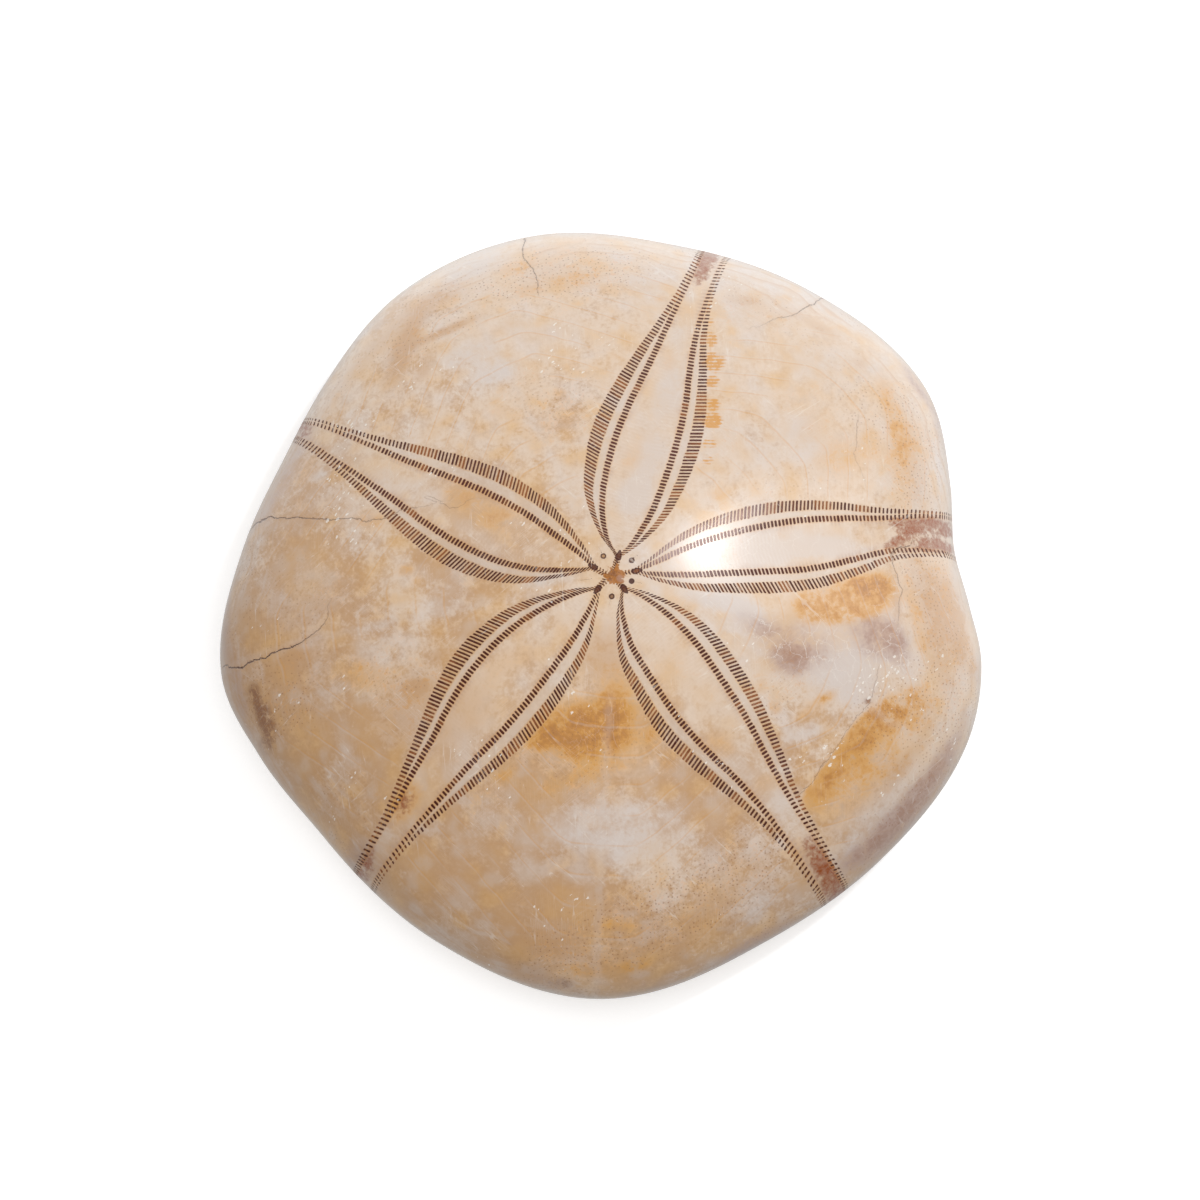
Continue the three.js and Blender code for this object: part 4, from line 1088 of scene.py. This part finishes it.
def pore_layer(f, colour, look, above, grain):
    """The petals' outer slits and inner pores, paired, in runs of darker and lighter fillings that are made
    pale in places beside the glint, partly by wear and partly as a painted highlight."""
    number, spacing = f.field("slit_number"), f.field("slit_spacing")
    outer, inner = f.field("outer_offset"), f.field("inner_offset")
    half, row = f.field("slit_half"), f.field("slit_row")
    rough = grain - 0.5
    # Where the slits are washed pale lavender beside the glint: partly real wear and partly a painted
    # highlight
    faded = f.limit(f.field("stain_faded") * (1 + rough)) * 0.72
    run = f.noise_along(number * 0.11 + row * 3.7, 1.0, 2.0, 0.5)
    hue = f.noise_along(number * 0.035 + row * 5.3 + 40, 1.0, 1.0, 0.5)
    dark = f.blend(f.step(hue, 0.46, 0.66), look.slit_dark, look.slit_plum)

    slit_half = f.most(half - 0.09, 0.0)
    thick = f.step(half, 0.05, 0.30, *SLIT_THICKNESS)
    distance, dice = slit_mask(f, number, outer, slit_half, thick, spacing, 1.0)
    slits = f.step(distance + rough * 0.04, SOFT_EDGE, -SOFT_EDGE) * above
    lighter = run * 2.1 + (dice[1] - 0.5) * 0.75 + (dice[2] - 0.5) * outer * 0.5 + rough * 0.4
    filling = f.blend(f.step(lighter, 1.0, 1.5), dark, look.slit_tan)
    filling = f.blend(faded, filling, look.slit_wear_and_highlight)
    body = f.step(abs(outer), half + 0.20, half - 0.10) * f.step(half, 0.2, 0.5) * above
    colour = f.blend(body * f.step(lighter, 0.2, 1.3) * 0.55, colour, look.slit_body)
    colour = f.blend(slits * (dice[0] * 0.05 + 0.95), colour, filling)

    pore_half = (1 - f.maths("EXPONENT", half * -4.5)) * 0.27
    thick = f.step(half, 0.05, 0.40, *PORE_THICKNESS)
    distance, dice = slit_mask(f, number, inner, pore_half, thick, spacing, 2.0)
    pores = f.step(distance + rough * 0.04, SOFT_EDGE, -SOFT_EDGE) * above
    lighter = run * 1.6 + (dice[1] - 0.5) * 0.6 + rough * 0.4
    filling = f.blend(f.step(lighter, 1.0, 1.4), dark, look.slit_tan)
    filling = f.blend(faded, filling, look.slit_wear_and_highlight)
    edging = f.step(distance, 0.22, 0.02) * above
    colour = f.blend(edging * 0.30, colour, look.rust)
    colour = f.blend(pores * (dice[0] * 0.04 + 0.96), colour, filling)
    return colour, f.most(slits, pores)


def crown_layer(f, place, colour, look, above, ragged, grain):
    """The top of the dome: the sieve plate's rusty blot, four egg pores and the five petal tips."""
    x, y, _ = f.parts(place)
    rough = grain - 0.5

    along, across = f.field("petal_u"), f.field("petal_v")
    tip = f.length(f.vector((along - 0.10) / 0.66, across / (0.36 - along * 0.16))) + rough * 0.5
    colour = f.blend(f.step(tip, 1.06, 0.88) * above * 0.94, colour, look.slit_dark)
    core = f.step(tip, 0.70, 0.30) * above
    ringed = f.step(f.field("slit_row"), 6.0, 5.0) * 0.5 + 0.25
    colour = f.blend(core * ringed, colour, look.slit_tan)
    pits = f.step(tip, 1.0, 0.8)

    for ahead, aside, core in EGG_PORES:
        distance = f.length(f.vector(x - ahead, y - aside)) + rough * 0.12 - EGG_PORE_RADIUS
        colour = f.blend(f.step(distance, 0.04, -0.04) * above * 0.95, colour, look.slit_dark)
        if core:
            colour = f.blend(f.step(distance, -0.08, -0.23) * above * core, colour, look.tan)
        pits = f.most(pits, f.step(distance, 0.03, -0.07))

    dx, dy = x - SIEVE_PLATE[0], y - SIEVE_PLATE[1]
    spiky = f.length(f.vector(dx * 0.92, dy)) + (ragged - 0.5) * 1.9 + rough * 1.1
    blot = f.step(spiky, SIEVE_RADIUS + 0.10, SIEVE_RADIUS - 0.08) * above
    colour = f.blend(blot * 0.94, colour, look.sieve)
    veined = f.step(ragged + rough * 0.6, 0.50, 0.62) * blot
    colour = f.blend(veined * 0.55, colour, look.umber)
    worn = f.step(f.length(f.vector(dx - 0.60, dy + 0.45)) + rough * 0.5, 0.55, 0.20) * blot
    colour = f.blend(worn * 0.60, colour, look.violet)
    return colour, pits * above


def crack_layer(f, colour, look, grain):
    """Dark hairline cracks with a brown rim."""
    wiggle = (f.field("cloud_patch") - 0.5) * 1.2 + (grain - 0.5) * 0.45
    strength = f.field("crack_strength")
    near = f.step(f.field("crack_near"), 1.6, 1.0)
    distance = abs(f.field("crack_side") + wiggle)
    line = f.step(distance, strength * 0.09 + 0.045, 0.01) * near * f.limit(strength)
    rim = f.step(distance, 0.75, 0.05) * near * f.limit(strength)
    colour = f.blend(rim * 0.28, colour, look.tan)
    return f.blend(line * 0.92, colour, look.crack), line


def scratch_layer(f, skin, colour, look, above):
    """Fine pale polishing scratches: thin level lines of long stretched noise, in three directions."""
    total = 0.0
    for bearing, spacing, shift, cloud_name in SCRATCHES:
        stretched = f.turned(skin + (shift, shift * 2, 0.0), bearing, (SCRATCH_LENGTH, spacing, 4.0))
        value = f.noise(stretched, 1.0, 0.0, 0.5)
        line = f.step(abs(value - 0.5), 0.012, 0.002) * f.step(f.field(cloud_name), 0.50, 0.62)
        total = f.most(line, total)
    total = total * above
    return f.blend(total * 0.26, colour, look.chip), total


def chip_layer(f, skin, colour, look, grain):
    """White chips in loose clusters."""
    distance, random = f.cells(f.turned(skin, 40, (1.0, 0.48, 1.0)), 1.0)
    cluster = f.field("cloud_chips") + f.field("stain_worn") * 0.14
    size = f.step(random[0] + (cluster - 0.5) * 1.3, 1.05, 1.36, 0.0, 0.24)
    edge = distance + (grain - 0.5) * 1.3 - size * (random[1] * 0.9 + 0.3)
    chips = f.step(edge, 0.04, -0.04) * f.step(size, 0.02, 0.06)
    return f.blend(chips * 0.72, colour, look.chip), chips


def knob_layer(f, skin, colour, look, below):
    """The pits and knobs of small spines: dark pin pricks in the freckled places and near the margin,
    ringed knobs below."""
    distance, random = f.cells(skin * (1.85 - below * 0.8), 1.0, 0.9)
    margin = f.step(f.field("edge_nearness"), 0.66, 0.90) * f.step(f.field("cloud_rust"), 0.40, 0.62)
    amount = f.limit(f.field("stain_freckled") * 1.3 + margin * 0.9) * (1 - below)
    chosen = f.step(random[0] + amount * 0.40, 0.78, 0.98) * amount
    pricks = f.step(distance, random[1] * 0.16 + 0.14, 0.08) * chosen
    colour = f.blend(pricks * 0.60, colour, look.prick)
    ring = f.step(abs(distance - 0.36), 0.14, 0.03) * below
    crown = f.step(distance, 0.22, 0.08) * below
    colour = f.blend(below * 0.30, colour, look.silt_pale)
    colour = f.blend(ring * 0.34, colour, look.tan)
    return f.blend(crown * 0.40, colour, look.cream)


def mouth_layer(f, colour, look, below, ragged):
    """Below: leaf-shaped rows of pores round the mouth, and grey-brown silt in the mouth, the furrows
    and the vent."""
    along, across = f.field("mouth_along"), f.field("mouth_across")
    leaf = f.step(along, 3.0, 7.0) * f.step(along, 17.0, 9.0)
    width = f.step(along, 3.0, 8.0, 0.7, 2.1) - f.step(along, 8.0, 16.0, 0.0, 1.3)
    offset = abs(abs(across) - width)
    from_dot = f.length(f.vector(f.folded(offset, 0.4), f.folded(along + abs(across) * 0.3, 0.3)))
    dots = f.step(from_dot, 0.17, 0.11) * f.step(offset, 0.75, 0.6) * leaf * below
    colour = f.blend(dots * 0.75, colour, look.slit_dark)
    silt = f.field("silt") * below
    silt_colour = f.blend(ragged, look.silt_dark, look.silt_pale)
    return f.blend(silt * 0.88, colour, silt_colour), silt


def stone_finish(look, polish):
    """The polished stone: all its layers, a clear polish above and a rougher face below."""
    f = Finish("polished_fossil_limestone")
    place = f.node("ShaderNodeTexCoord", None, None, "Object") * (1 / MM)
    beyond = f.field("beyond_edge")
    above = f.step(beyond, 0.62, 0.30)
    below = f.step(beyond, 0.55, 1.0)
    skin = f.field("skin", "Vector")
    grain = f.noise(skin, 1.9, 2.0, 0.62)
    ragged = f.noise(skin, 0.55, 5.0, 0.66)

    colour = ground_layer(f, look, ragged, grain)
    colour = growth_layer(f, colour, look)
    colour = stain_layer(f, colour, look, ragged, grain)
    colour = plate_layer(f, colour, look, above)
    colour = web_layer(f, skin, colour, look, ragged)
    colour = knob_layer(f, skin, colour, look, below)
    colour, silt = mouth_layer(f, colour, look, below, ragged)
    colour, ends = petal_layer(f, colour, look, above, ragged, grain)
    colour, pores = pore_layer(f, colour, look, above, grain)
    colour, pits = crown_layer(f, place, colour, look, above, ragged, grain)
    colour, cracks = crack_layer(f, colour, look, grain)
    colour, chips = chip_layer(f, skin, colour, look, grain)
    colour, scratches = scratch_layer(f, skin, colour, look, above)

    roughness = polish.roughness + (f.field("cloud_drift") - 0.5) * 0.10 + (grain - 0.5) * 0.06
    roughness = roughness + chips * 0.28 + pores * 0.28 + scratches * 0.10 + below * 0.16 + silt * 0.25
    coat = f.limit(polish.coat - (chips + cracks) * 0.5 - pores - ends * 0.45 - below * 0.45 - silt)

    height = ((f.field("cloud_broad") - 0.5) * 0.30 + (grain - 0.5) * 0.006
              - pores * 0.030 - pits * 0.06 - cracks * 0.12)
    normal = f.node("ShaderNodeBump", None, {"Strength": 1.0, "Distance": MM, "Height": height})
    f.surface(f.node("ShaderNodeBsdfPrincipled", None, {
        "Base Color": colour, "Roughness": roughness, "Specular IOR Level": polish.specular,
        "Coat Weight": coat, "Coat Roughness": polish.coat_roughness, "Normal": normal}))
    return f.material


# ---------------------------------------------------------------- settings

def colour_setting(name, description, red, green, blue):
    """A colour a user may change."""
    return bpy.props.FloatVectorProperty(
        name=name, description=description, default=tone(red, green, blue), subtype="COLOR", size=4,
        min=0, max=1)


class FossilShape(bpy.types.PropertyGroup):
    """How finely the shell is made, and how it fits its place."""
    sectors: bpy.props.IntProperty(
        name="Sectors", description="Points round each ring, a multiple of four", default=432,
        min=48, max=480)
    dome_rings: bpy.props.IntProperty(
        name="Dome rings", description="Rings from the top of the dome to the edge", default=118,
        min=20, max=140)
    edge_rings: bpy.props.IntProperty(
        name="Edge rings", description="Rings from the edge to the resting pads", default=24,
        min=6, max=40)
    cup_rings: bpy.props.IntProperty(
        name="Cup rings", description="Rings from the pads to the lips of the mouth", default=52,
        min=10, max=80)
    mouth_rings: bpy.props.IntProperty(
        name="Mouth rings", description="Rings inside the mouth", default=14, min=4, max=30)
    fit: bpy.props.FloatProperty(
        name="Fit", description="Share of the solid's size that the shell fills", default=0.9995,
        min=0.9, max=1.0, precision=4, subtype="FACTOR")


class FossilColours(bpy.types.PropertyGroup):
    """Colours of the stone."""
    sand: colour_setting("Sand", "Warm ground of the stone", 201, 162, 124)
    cream: colour_setting("Cream", "Lighter ground of the stone", 223, 198, 174)
    mist: colour_setting("Mist", "Cool pale clouds and healed lines", 217, 204, 196)
    honey: colour_setting("Honey", "Yellow clouds", 220, 176, 120)
    band: colour_setting("Band", "Smooth band between a petal's two rows", 214, 197, 183)
    gold: colour_setting("Gold", "Thin golden stains", 218, 158, 70)
    ochre: colour_setting("Ochre", "Strong rusty stains", 190, 130, 64)
    rust: colour_setting("Rust", "Fine rusty freckles", 214, 150, 64)
    tan: colour_setting("Tan", "Mild brown stains", 198, 154, 110)
    umber: colour_setting("Umber", "Dark brown stains", 130, 84, 58)
    bark: colour_setting("Bark", "Dark ends of the petals", 152, 76, 24)
    plum: colour_setting("Plum", "Soft shade round the dark ends of the petals", 160, 114, 86)
    # Violet also darkens the rim at the tail and the right flank, partly as painted shade
    violet: colour_setting("Violet", "Violet grey stains", 176, 141, 126)
    sieve: colour_setting("Sieve plate", "Rusty blot at the top of the dome", 178, 114, 52)
    slit_dark: colour_setting("Dark slit", "Filling of most slits", 72, 24, 8)
    slit_plum: colour_setting("Plum slit", "Filling of some slits", 80, 32, 22)
    slit_body: colour_setting("Slit body", "Stained stone between the slits", 206, 164, 120)
    slit_tan: colour_setting("Tan slit", "Filling of the lighter slits", 144, 86, 46)
    # The pale lavender of these slits is partly real wear and partly a painted highlight beside the glint
    slit_wear_and_highlight: colour_setting("Faded slits", "Slits worn nearly away", 206, 178, 174)
    crack: colour_setting("Crack", "Hairline cracks", 96, 62, 52)
    chip: colour_setting("Chip", "Fresh chips and scratches", 246, 240, 232)
    prick: colour_setting("Prick", "Filled pits of small spines", 150, 100, 68)
    silt_pale: colour_setting("Pale silt", "Dry silt below", 200, 176, 146)
    silt_dark: colour_setting("Dark silt", "Silt in the mouth and vent", 138, 112, 88)


class FossilPolish(bpy.types.PropertyGroup):
    """How the stone shines."""
    roughness: bpy.props.FloatProperty(
        name="Roughness", description="Roughness of the stone under its polish", default=0.34,
        min=0.05, max=1, subtype="FACTOR")
    coat: bpy.props.FloatProperty(
        name="Coat", description="Strength of the clear polish", default=0.80,
        min=0, max=1, subtype="FACTOR")
    coat_roughness: bpy.props.FloatProperty(
        name="Coat roughness", description="Softness of the reflections in the polish", default=0.22,
        min=0, max=1, subtype="FACTOR")
    specular: bpy.props.FloatProperty(
        name="Specular", description="Reflection of the stone under its polish", default=0.5,
        min=0, max=1, subtype="FACTOR")


class FossilStudio(bpy.types.PropertyGroup):
    """Camera, floor and light."""
    camera_elevation: bpy.props.FloatProperty(
        name="Camera elevation", description="Angle of the camera above the floor", unit="ROTATION",
        default=math.radians(78))
    camera_azimuth: bpy.props.FloatProperty(
        name="Camera azimuth", description="Turn of the camera round the shell", unit="ROTATION",
        default=math.radians(-9))
    camera_distance: bpy.props.FloatProperty(
        name="Camera distance", description="From the camera to the shell's girth", unit="LENGTH",
        default=0.474)
    lens: bpy.props.FloatProperty(
        name="Lens", description="Focal length", unit="CAMERA", default=120)
    aside: bpy.props.FloatProperty(
        name="Aim aside", description="How far right of the shell's middle the camera aims", unit="LENGTH",
        default=0.00083, precision=5)
    upward: bpy.props.FloatProperty(
        name="Aim upward", description="How far above the shell's middle the camera aims, in the picture",
        unit="LENGTH", default=0.0009, precision=5)
    floor_size: bpy.props.FloatProperty(
        name="Floor size", description="Side of the square floor", unit="LENGTH", default=4.0)
    floor_colour: colour_setting("Floor", "Plain pale floor", 243, 243, 243)
    floor_glow: bpy.props.FloatProperty(
        name="Floor glow", description="Light that the pale floor adds of its own", default=0.42, min=0)
    sky: bpy.props.FloatProperty(
        name="Surrounding light", description="Strength of the even white surroundings", default=0.26,
        min=0)
    backdrop: bpy.props.FloatProperty(
        name="Backdrop", description="Brightness of the plain backdrop", default=0.93, min=0)
    room_glow: bpy.props.FloatProperty(
        name="Room glow", description="Brightness of the bright side of the room, as the polish mirrors it",
        default=2.2, min=0)
    top_power: bpy.props.FloatProperty(
        name="Top power", description="Power of the wide soft light overhead", unit="POWER", default=7.6)
    key_power: bpy.props.FloatProperty(
        name="Key power", description="Power of the small bright light", unit="POWER", default=2.7)
    glint_power: bpy.props.FloatProperty(
        name="Glint power", description="Power of the small panel that the polish mirrors", unit="POWER",
        default=1.5)
    strip_power: bpy.props.FloatProperty(
        name="Strip power", description="Power of the tall reflector in front", unit="POWER", default=0.40)


# ---------------------------------------------------------------- camera, floor, room and lights

WHITE = (1.0, 1.0, 1.0, 1.0)
SENSOR_WIDTH = 36                    # millimetres
NEAREST = 0.01                       # metres; the camera sees nothing nearer
ROOM_RADIUS = 2.5                    # metres
ROOM_BEARING = math.radians(60)      # the bright side of the room
EVEN_GLOW = 0.12
LOW_GLOW = 0.50                      # added below the horizon
BACKDROP_RADIUS = 3.0
SPHERE_RINGS, SPHERE_SECTORS = 24, 48
HIDDEN_RAYS = ("diffuse", "transmission", "volume_scatter", "shadow")

# Each light: its power setting, elevation and azimuth in degrees, distance, width and height in metres,
# and the kind of ray that doesn't see it
SOFTBOXES = {
    "top_light": ("top_power", 79, -120, 1.2, 0.9, 0.9, "glossy"),
    "key_light": ("key_power", 59, 28, 0.9, 0.08, 0.08, "glossy"),
    "glint_panel": ("glint_power", 60, 30, 0.9, 0.07, 0.07, "diffuse"),
    "strip_panel": ("strip_power", 41, 14, 0.9, 0.20, 0.40, "diffuse"),
}


def add_camera(studio, scene):
    """The camera looks down at the shell from its elevation and azimuth, aimed a little off its middle."""
    elevation, azimuth = studio.camera_elevation, studio.camera_azimuth
    back = Vector((math.cos(elevation) * math.sin(azimuth), -math.cos(elevation) * math.cos(azimuth),
                   math.sin(elevation)))
    aim = back.to_track_quat("Z", "Y")
    girth = Vector((0, 0, EDGE_HEIGHT * MM))
    target = girth + aim @ Vector((studio.aside, studio.upward, 0))
    data = bpy.data.cameras.new("studio_camera")
    data.lens = studio.lens
    data.sensor_width = SENSOR_WIDTH
    data.clip_start = NEAREST
    camera = bpy.data.objects.new("studio_camera", data)
    camera.location = target + back * studio.camera_distance
    camera.rotation_euler = aim.to_euler()
    scene.collection.objects.link(camera)
    scene.camera = camera


def add_floor(studio, scene):
    """A plain pale floor under the shell."""
    half = studio.floor_size / 2
    corners = [(-half, -half, 0), (half, -half, 0), (half, half, 0), (-half, half, 0)]
    mesh = bpy.data.meshes.new("floor")
    mesh.from_pydata(corners, [], [(0, 1, 2, 3)])
    finish = Finish("plain_floor")
    finish.surface(finish.node("ShaderNodeBsdfPrincipled", None, {
        "Base Color": studio.floor_colour, "Roughness": 0.9, "Specular IOR Level": 0.1,
        "Emission Color": WHITE, "Emission Strength": studio.floor_glow}))
    mesh.materials.append(finish.material)
    floor = bpy.data.objects.new("floor", mesh)
    floor.visible_glossy = False
    floor.visible_diffuse = False
    scene.collection.objects.link(floor)


def stage_sphere(name, radius, finish, hidden_from, scene):
    """A sphere round the stage, hidden from some kinds of ray. A point of it lies at the radius times
    (sin a cos b, sin a sin b, cos a), with a the angle from the top and b the bearing."""
    fall = np.linspace(0, math.pi, SPHERE_RINGS + 2)[1:-1, None]
    bearing = 2 * math.pi * np.arange(SPHERE_SECTORS)[None, :] / SPHERE_SECTORS
    grid = np.stack(np.broadcast_arrays(np.sin(fall) * np.cos(bearing), np.sin(fall) * np.sin(bearing),
                                        np.cos(fall)), -1).reshape(-1, 3)
    points = np.concatenate(([[0, 0, 1]], grid, [[0, 0, -1]])) * radius
    mesh = closed_mesh(name, points, SPHERE_RINGS, SPHERE_SECTORS)
    mesh.materials.append(finish.material)
    finish.material.cycles.emission_sampling = "NONE"
    sphere = bpy.data.objects.new(name, mesh)
    for ray in hidden_from:
        setattr(sphere, "visible_" + ray, False)
    scene.collection.objects.link(sphere)


def add_backdrop(studio, scene):
    """A plain pale backdrop that only the camera sees."""
    finish = Finish("plain_backdrop")
    finish.surface(finish.node("ShaderNodeEmission", None, {"Strength": studio.backdrop}))
    stage_sphere("backdrop", BACKDROP_RADIUS, finish, ("glossy", *HIDDEN_RAYS), scene)


def add_room(studio, scene):
    """A room that only the polish mirrors: a sphere round the stage. Its glow is a faint even share, plus
    room_glow * a * b * (1 - z), where z is the height of a direction, a eases from 0 to 1 as it turns
    towards the bright side, ahead and to the left, and b fades below the horizon, plus a pale glow below
    the horizon, which the rims mirror."""
    finish = Finish("bright_room")
    x, y, z = finish.parts(finish.node("ShaderNodeTexCoord", None, None, "Object") * (1 / ROOM_RADIUS))
    level = finish.maths("SQRT", finish.most(1 - z * z, 0.0001))
    facing = (x * math.cos(ROOM_BEARING) + y * math.sin(ROOM_BEARING)) / level
    upright = finish.limit(1 - z) * finish.step(z, -1.1, -0.05)
    bright_side = finish.step(facing, -0.35, 0.85) * upright * studio.room_glow
    glow = bright_side + finish.step(z, 0.05, -0.5) * LOW_GLOW + EVEN_GLOW
    finish.surface(finish.node("ShaderNodeEmission", None, {"Strength": glow}))
    stage_sphere("room", ROOM_RADIUS, finish, ("camera", *HIDDEN_RAYS), scene)


def add_softbox(studio, scene, name):
    """A rectangular area light that faces the shell."""
    power, elevation, azimuth, distance, width, height, unseen_by = SOFTBOXES[name]
    data = bpy.data.lights.new(name, "AREA")
    data.shape = "RECTANGLE"
    data.size = width
    data.size_y = height
    data.energy = getattr(studio, power)
    light = bpy.data.objects.new(name, data)
    up, round_ = math.radians(elevation), math.radians(azimuth)
    towards = Vector((math.cos(up) * math.cos(round_), math.cos(up) * math.sin(round_), math.sin(up)))
    light.location = towards * distance + Vector((0, 0, EDGE_HEIGHT * MM))
    light.rotation_euler = towards.to_track_quat("Z", "Y").to_euler()
    setattr(light, "visible_" + unseen_by, False)
    scene.collection.objects.link(light)


def add_surroundings(studio, scene):
    """Even white light from all round."""
    world = bpy.data.worlds.new("studio_surroundings")
    world.use_nodes = True
    background = world.node_tree.nodes["Background"]
    background.inputs["Color"].default_value = WHITE
    background.inputs["Strength"].default_value = studio.sky
    scene.world = world


# ---------------------------------------------------------------- operators and panel

class FOSSIL_OT_shell(bpy.types.Operator):
    """Makes the polished shell around its solid"""
    bl_idname = "fossil.shell"
    bl_label = "Polished shell"

    def execute(self, context):
        shell = add_test(context.scene.fossil_shape)
        context.scene.collection.objects.link(shell)
        shell.data.materials.append(stone_finish(context.scene.fossil_colours, context.scene.fossil_polish))
        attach(shell, "root")
        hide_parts("sand_dollar")
        return {"FINISHED"}


class FOSSIL_OT_studio(bpy.types.Operator):
    """Sets up the camera, the pale floor and the soft lights"""
    bl_idname = "fossil.studio"
    bl_label = "Studio"

    def execute(self, context):
        scene = context.scene
        studio = scene.fossil_studio
        add_camera(studio, scene)
        add_floor(studio, scene)
        for name in SOFTBOXES:
            add_softbox(studio, scene, name)
        add_room(studio, scene)
        add_backdrop(studio, scene)
        add_surroundings(studio, scene)
        scene.view_settings.view_transform = "Standard"
        return {"FINISHED"}


class FOSSIL_PT_panel(bpy.types.Panel):
    """Lists the fossil's pieces and their settings"""
    bl_idname = "FOSSIL_PT_panel"
    bl_label = "Fossil Sand Dollar"
    bl_space_type = "VIEW_3D"
    bl_region_type = "UI"
    bl_category = "Fossil"

    def draw(self, context):
        groups = (("fossil.shell", ("fossil_shape", "fossil_colours", "fossil_polish")),
                  ("fossil.studio", ("fossil_studio",)))
        for operator, names in groups:
            box = self.layout.box()
            box.operator(operator)
            for name in names:
                group = getattr(context.scene, name)
                for setting in group.bl_rna.properties.keys()[2:]:
                    box.prop(group, setting)


GROUPS = {"fossil_shape": FossilShape, "fossil_colours": FossilColours, "fossil_polish": FossilPolish,
          "fossil_studio": FossilStudio}
CLASSES = (*GROUPS.values(), FOSSIL_OT_shell, FOSSIL_OT_studio, FOSSIL_PT_panel)


def register():
    """Adds the classes and hangs each group of settings on the scene."""
    for cls in CLASSES:
        bpy.utils.register_class(cls)
    for name, group in GROUPS.items():
        setattr(bpy.types.Scene, name, bpy.props.PointerProperty(type=group))


def unregister():
    """Takes away all that register adds."""
    for name in GROUPS:
        delattr(bpy.types.Scene, name)
    for cls in reversed(CLASSES):
        bpy.utils.unregister_class(cls)


def main():
    """Makes the shell, then the studio."""
    register()
    bpy.ops.fossil.shell()
    bpy.ops.fossil.studio()


if __name__ == "__main__":
    main()
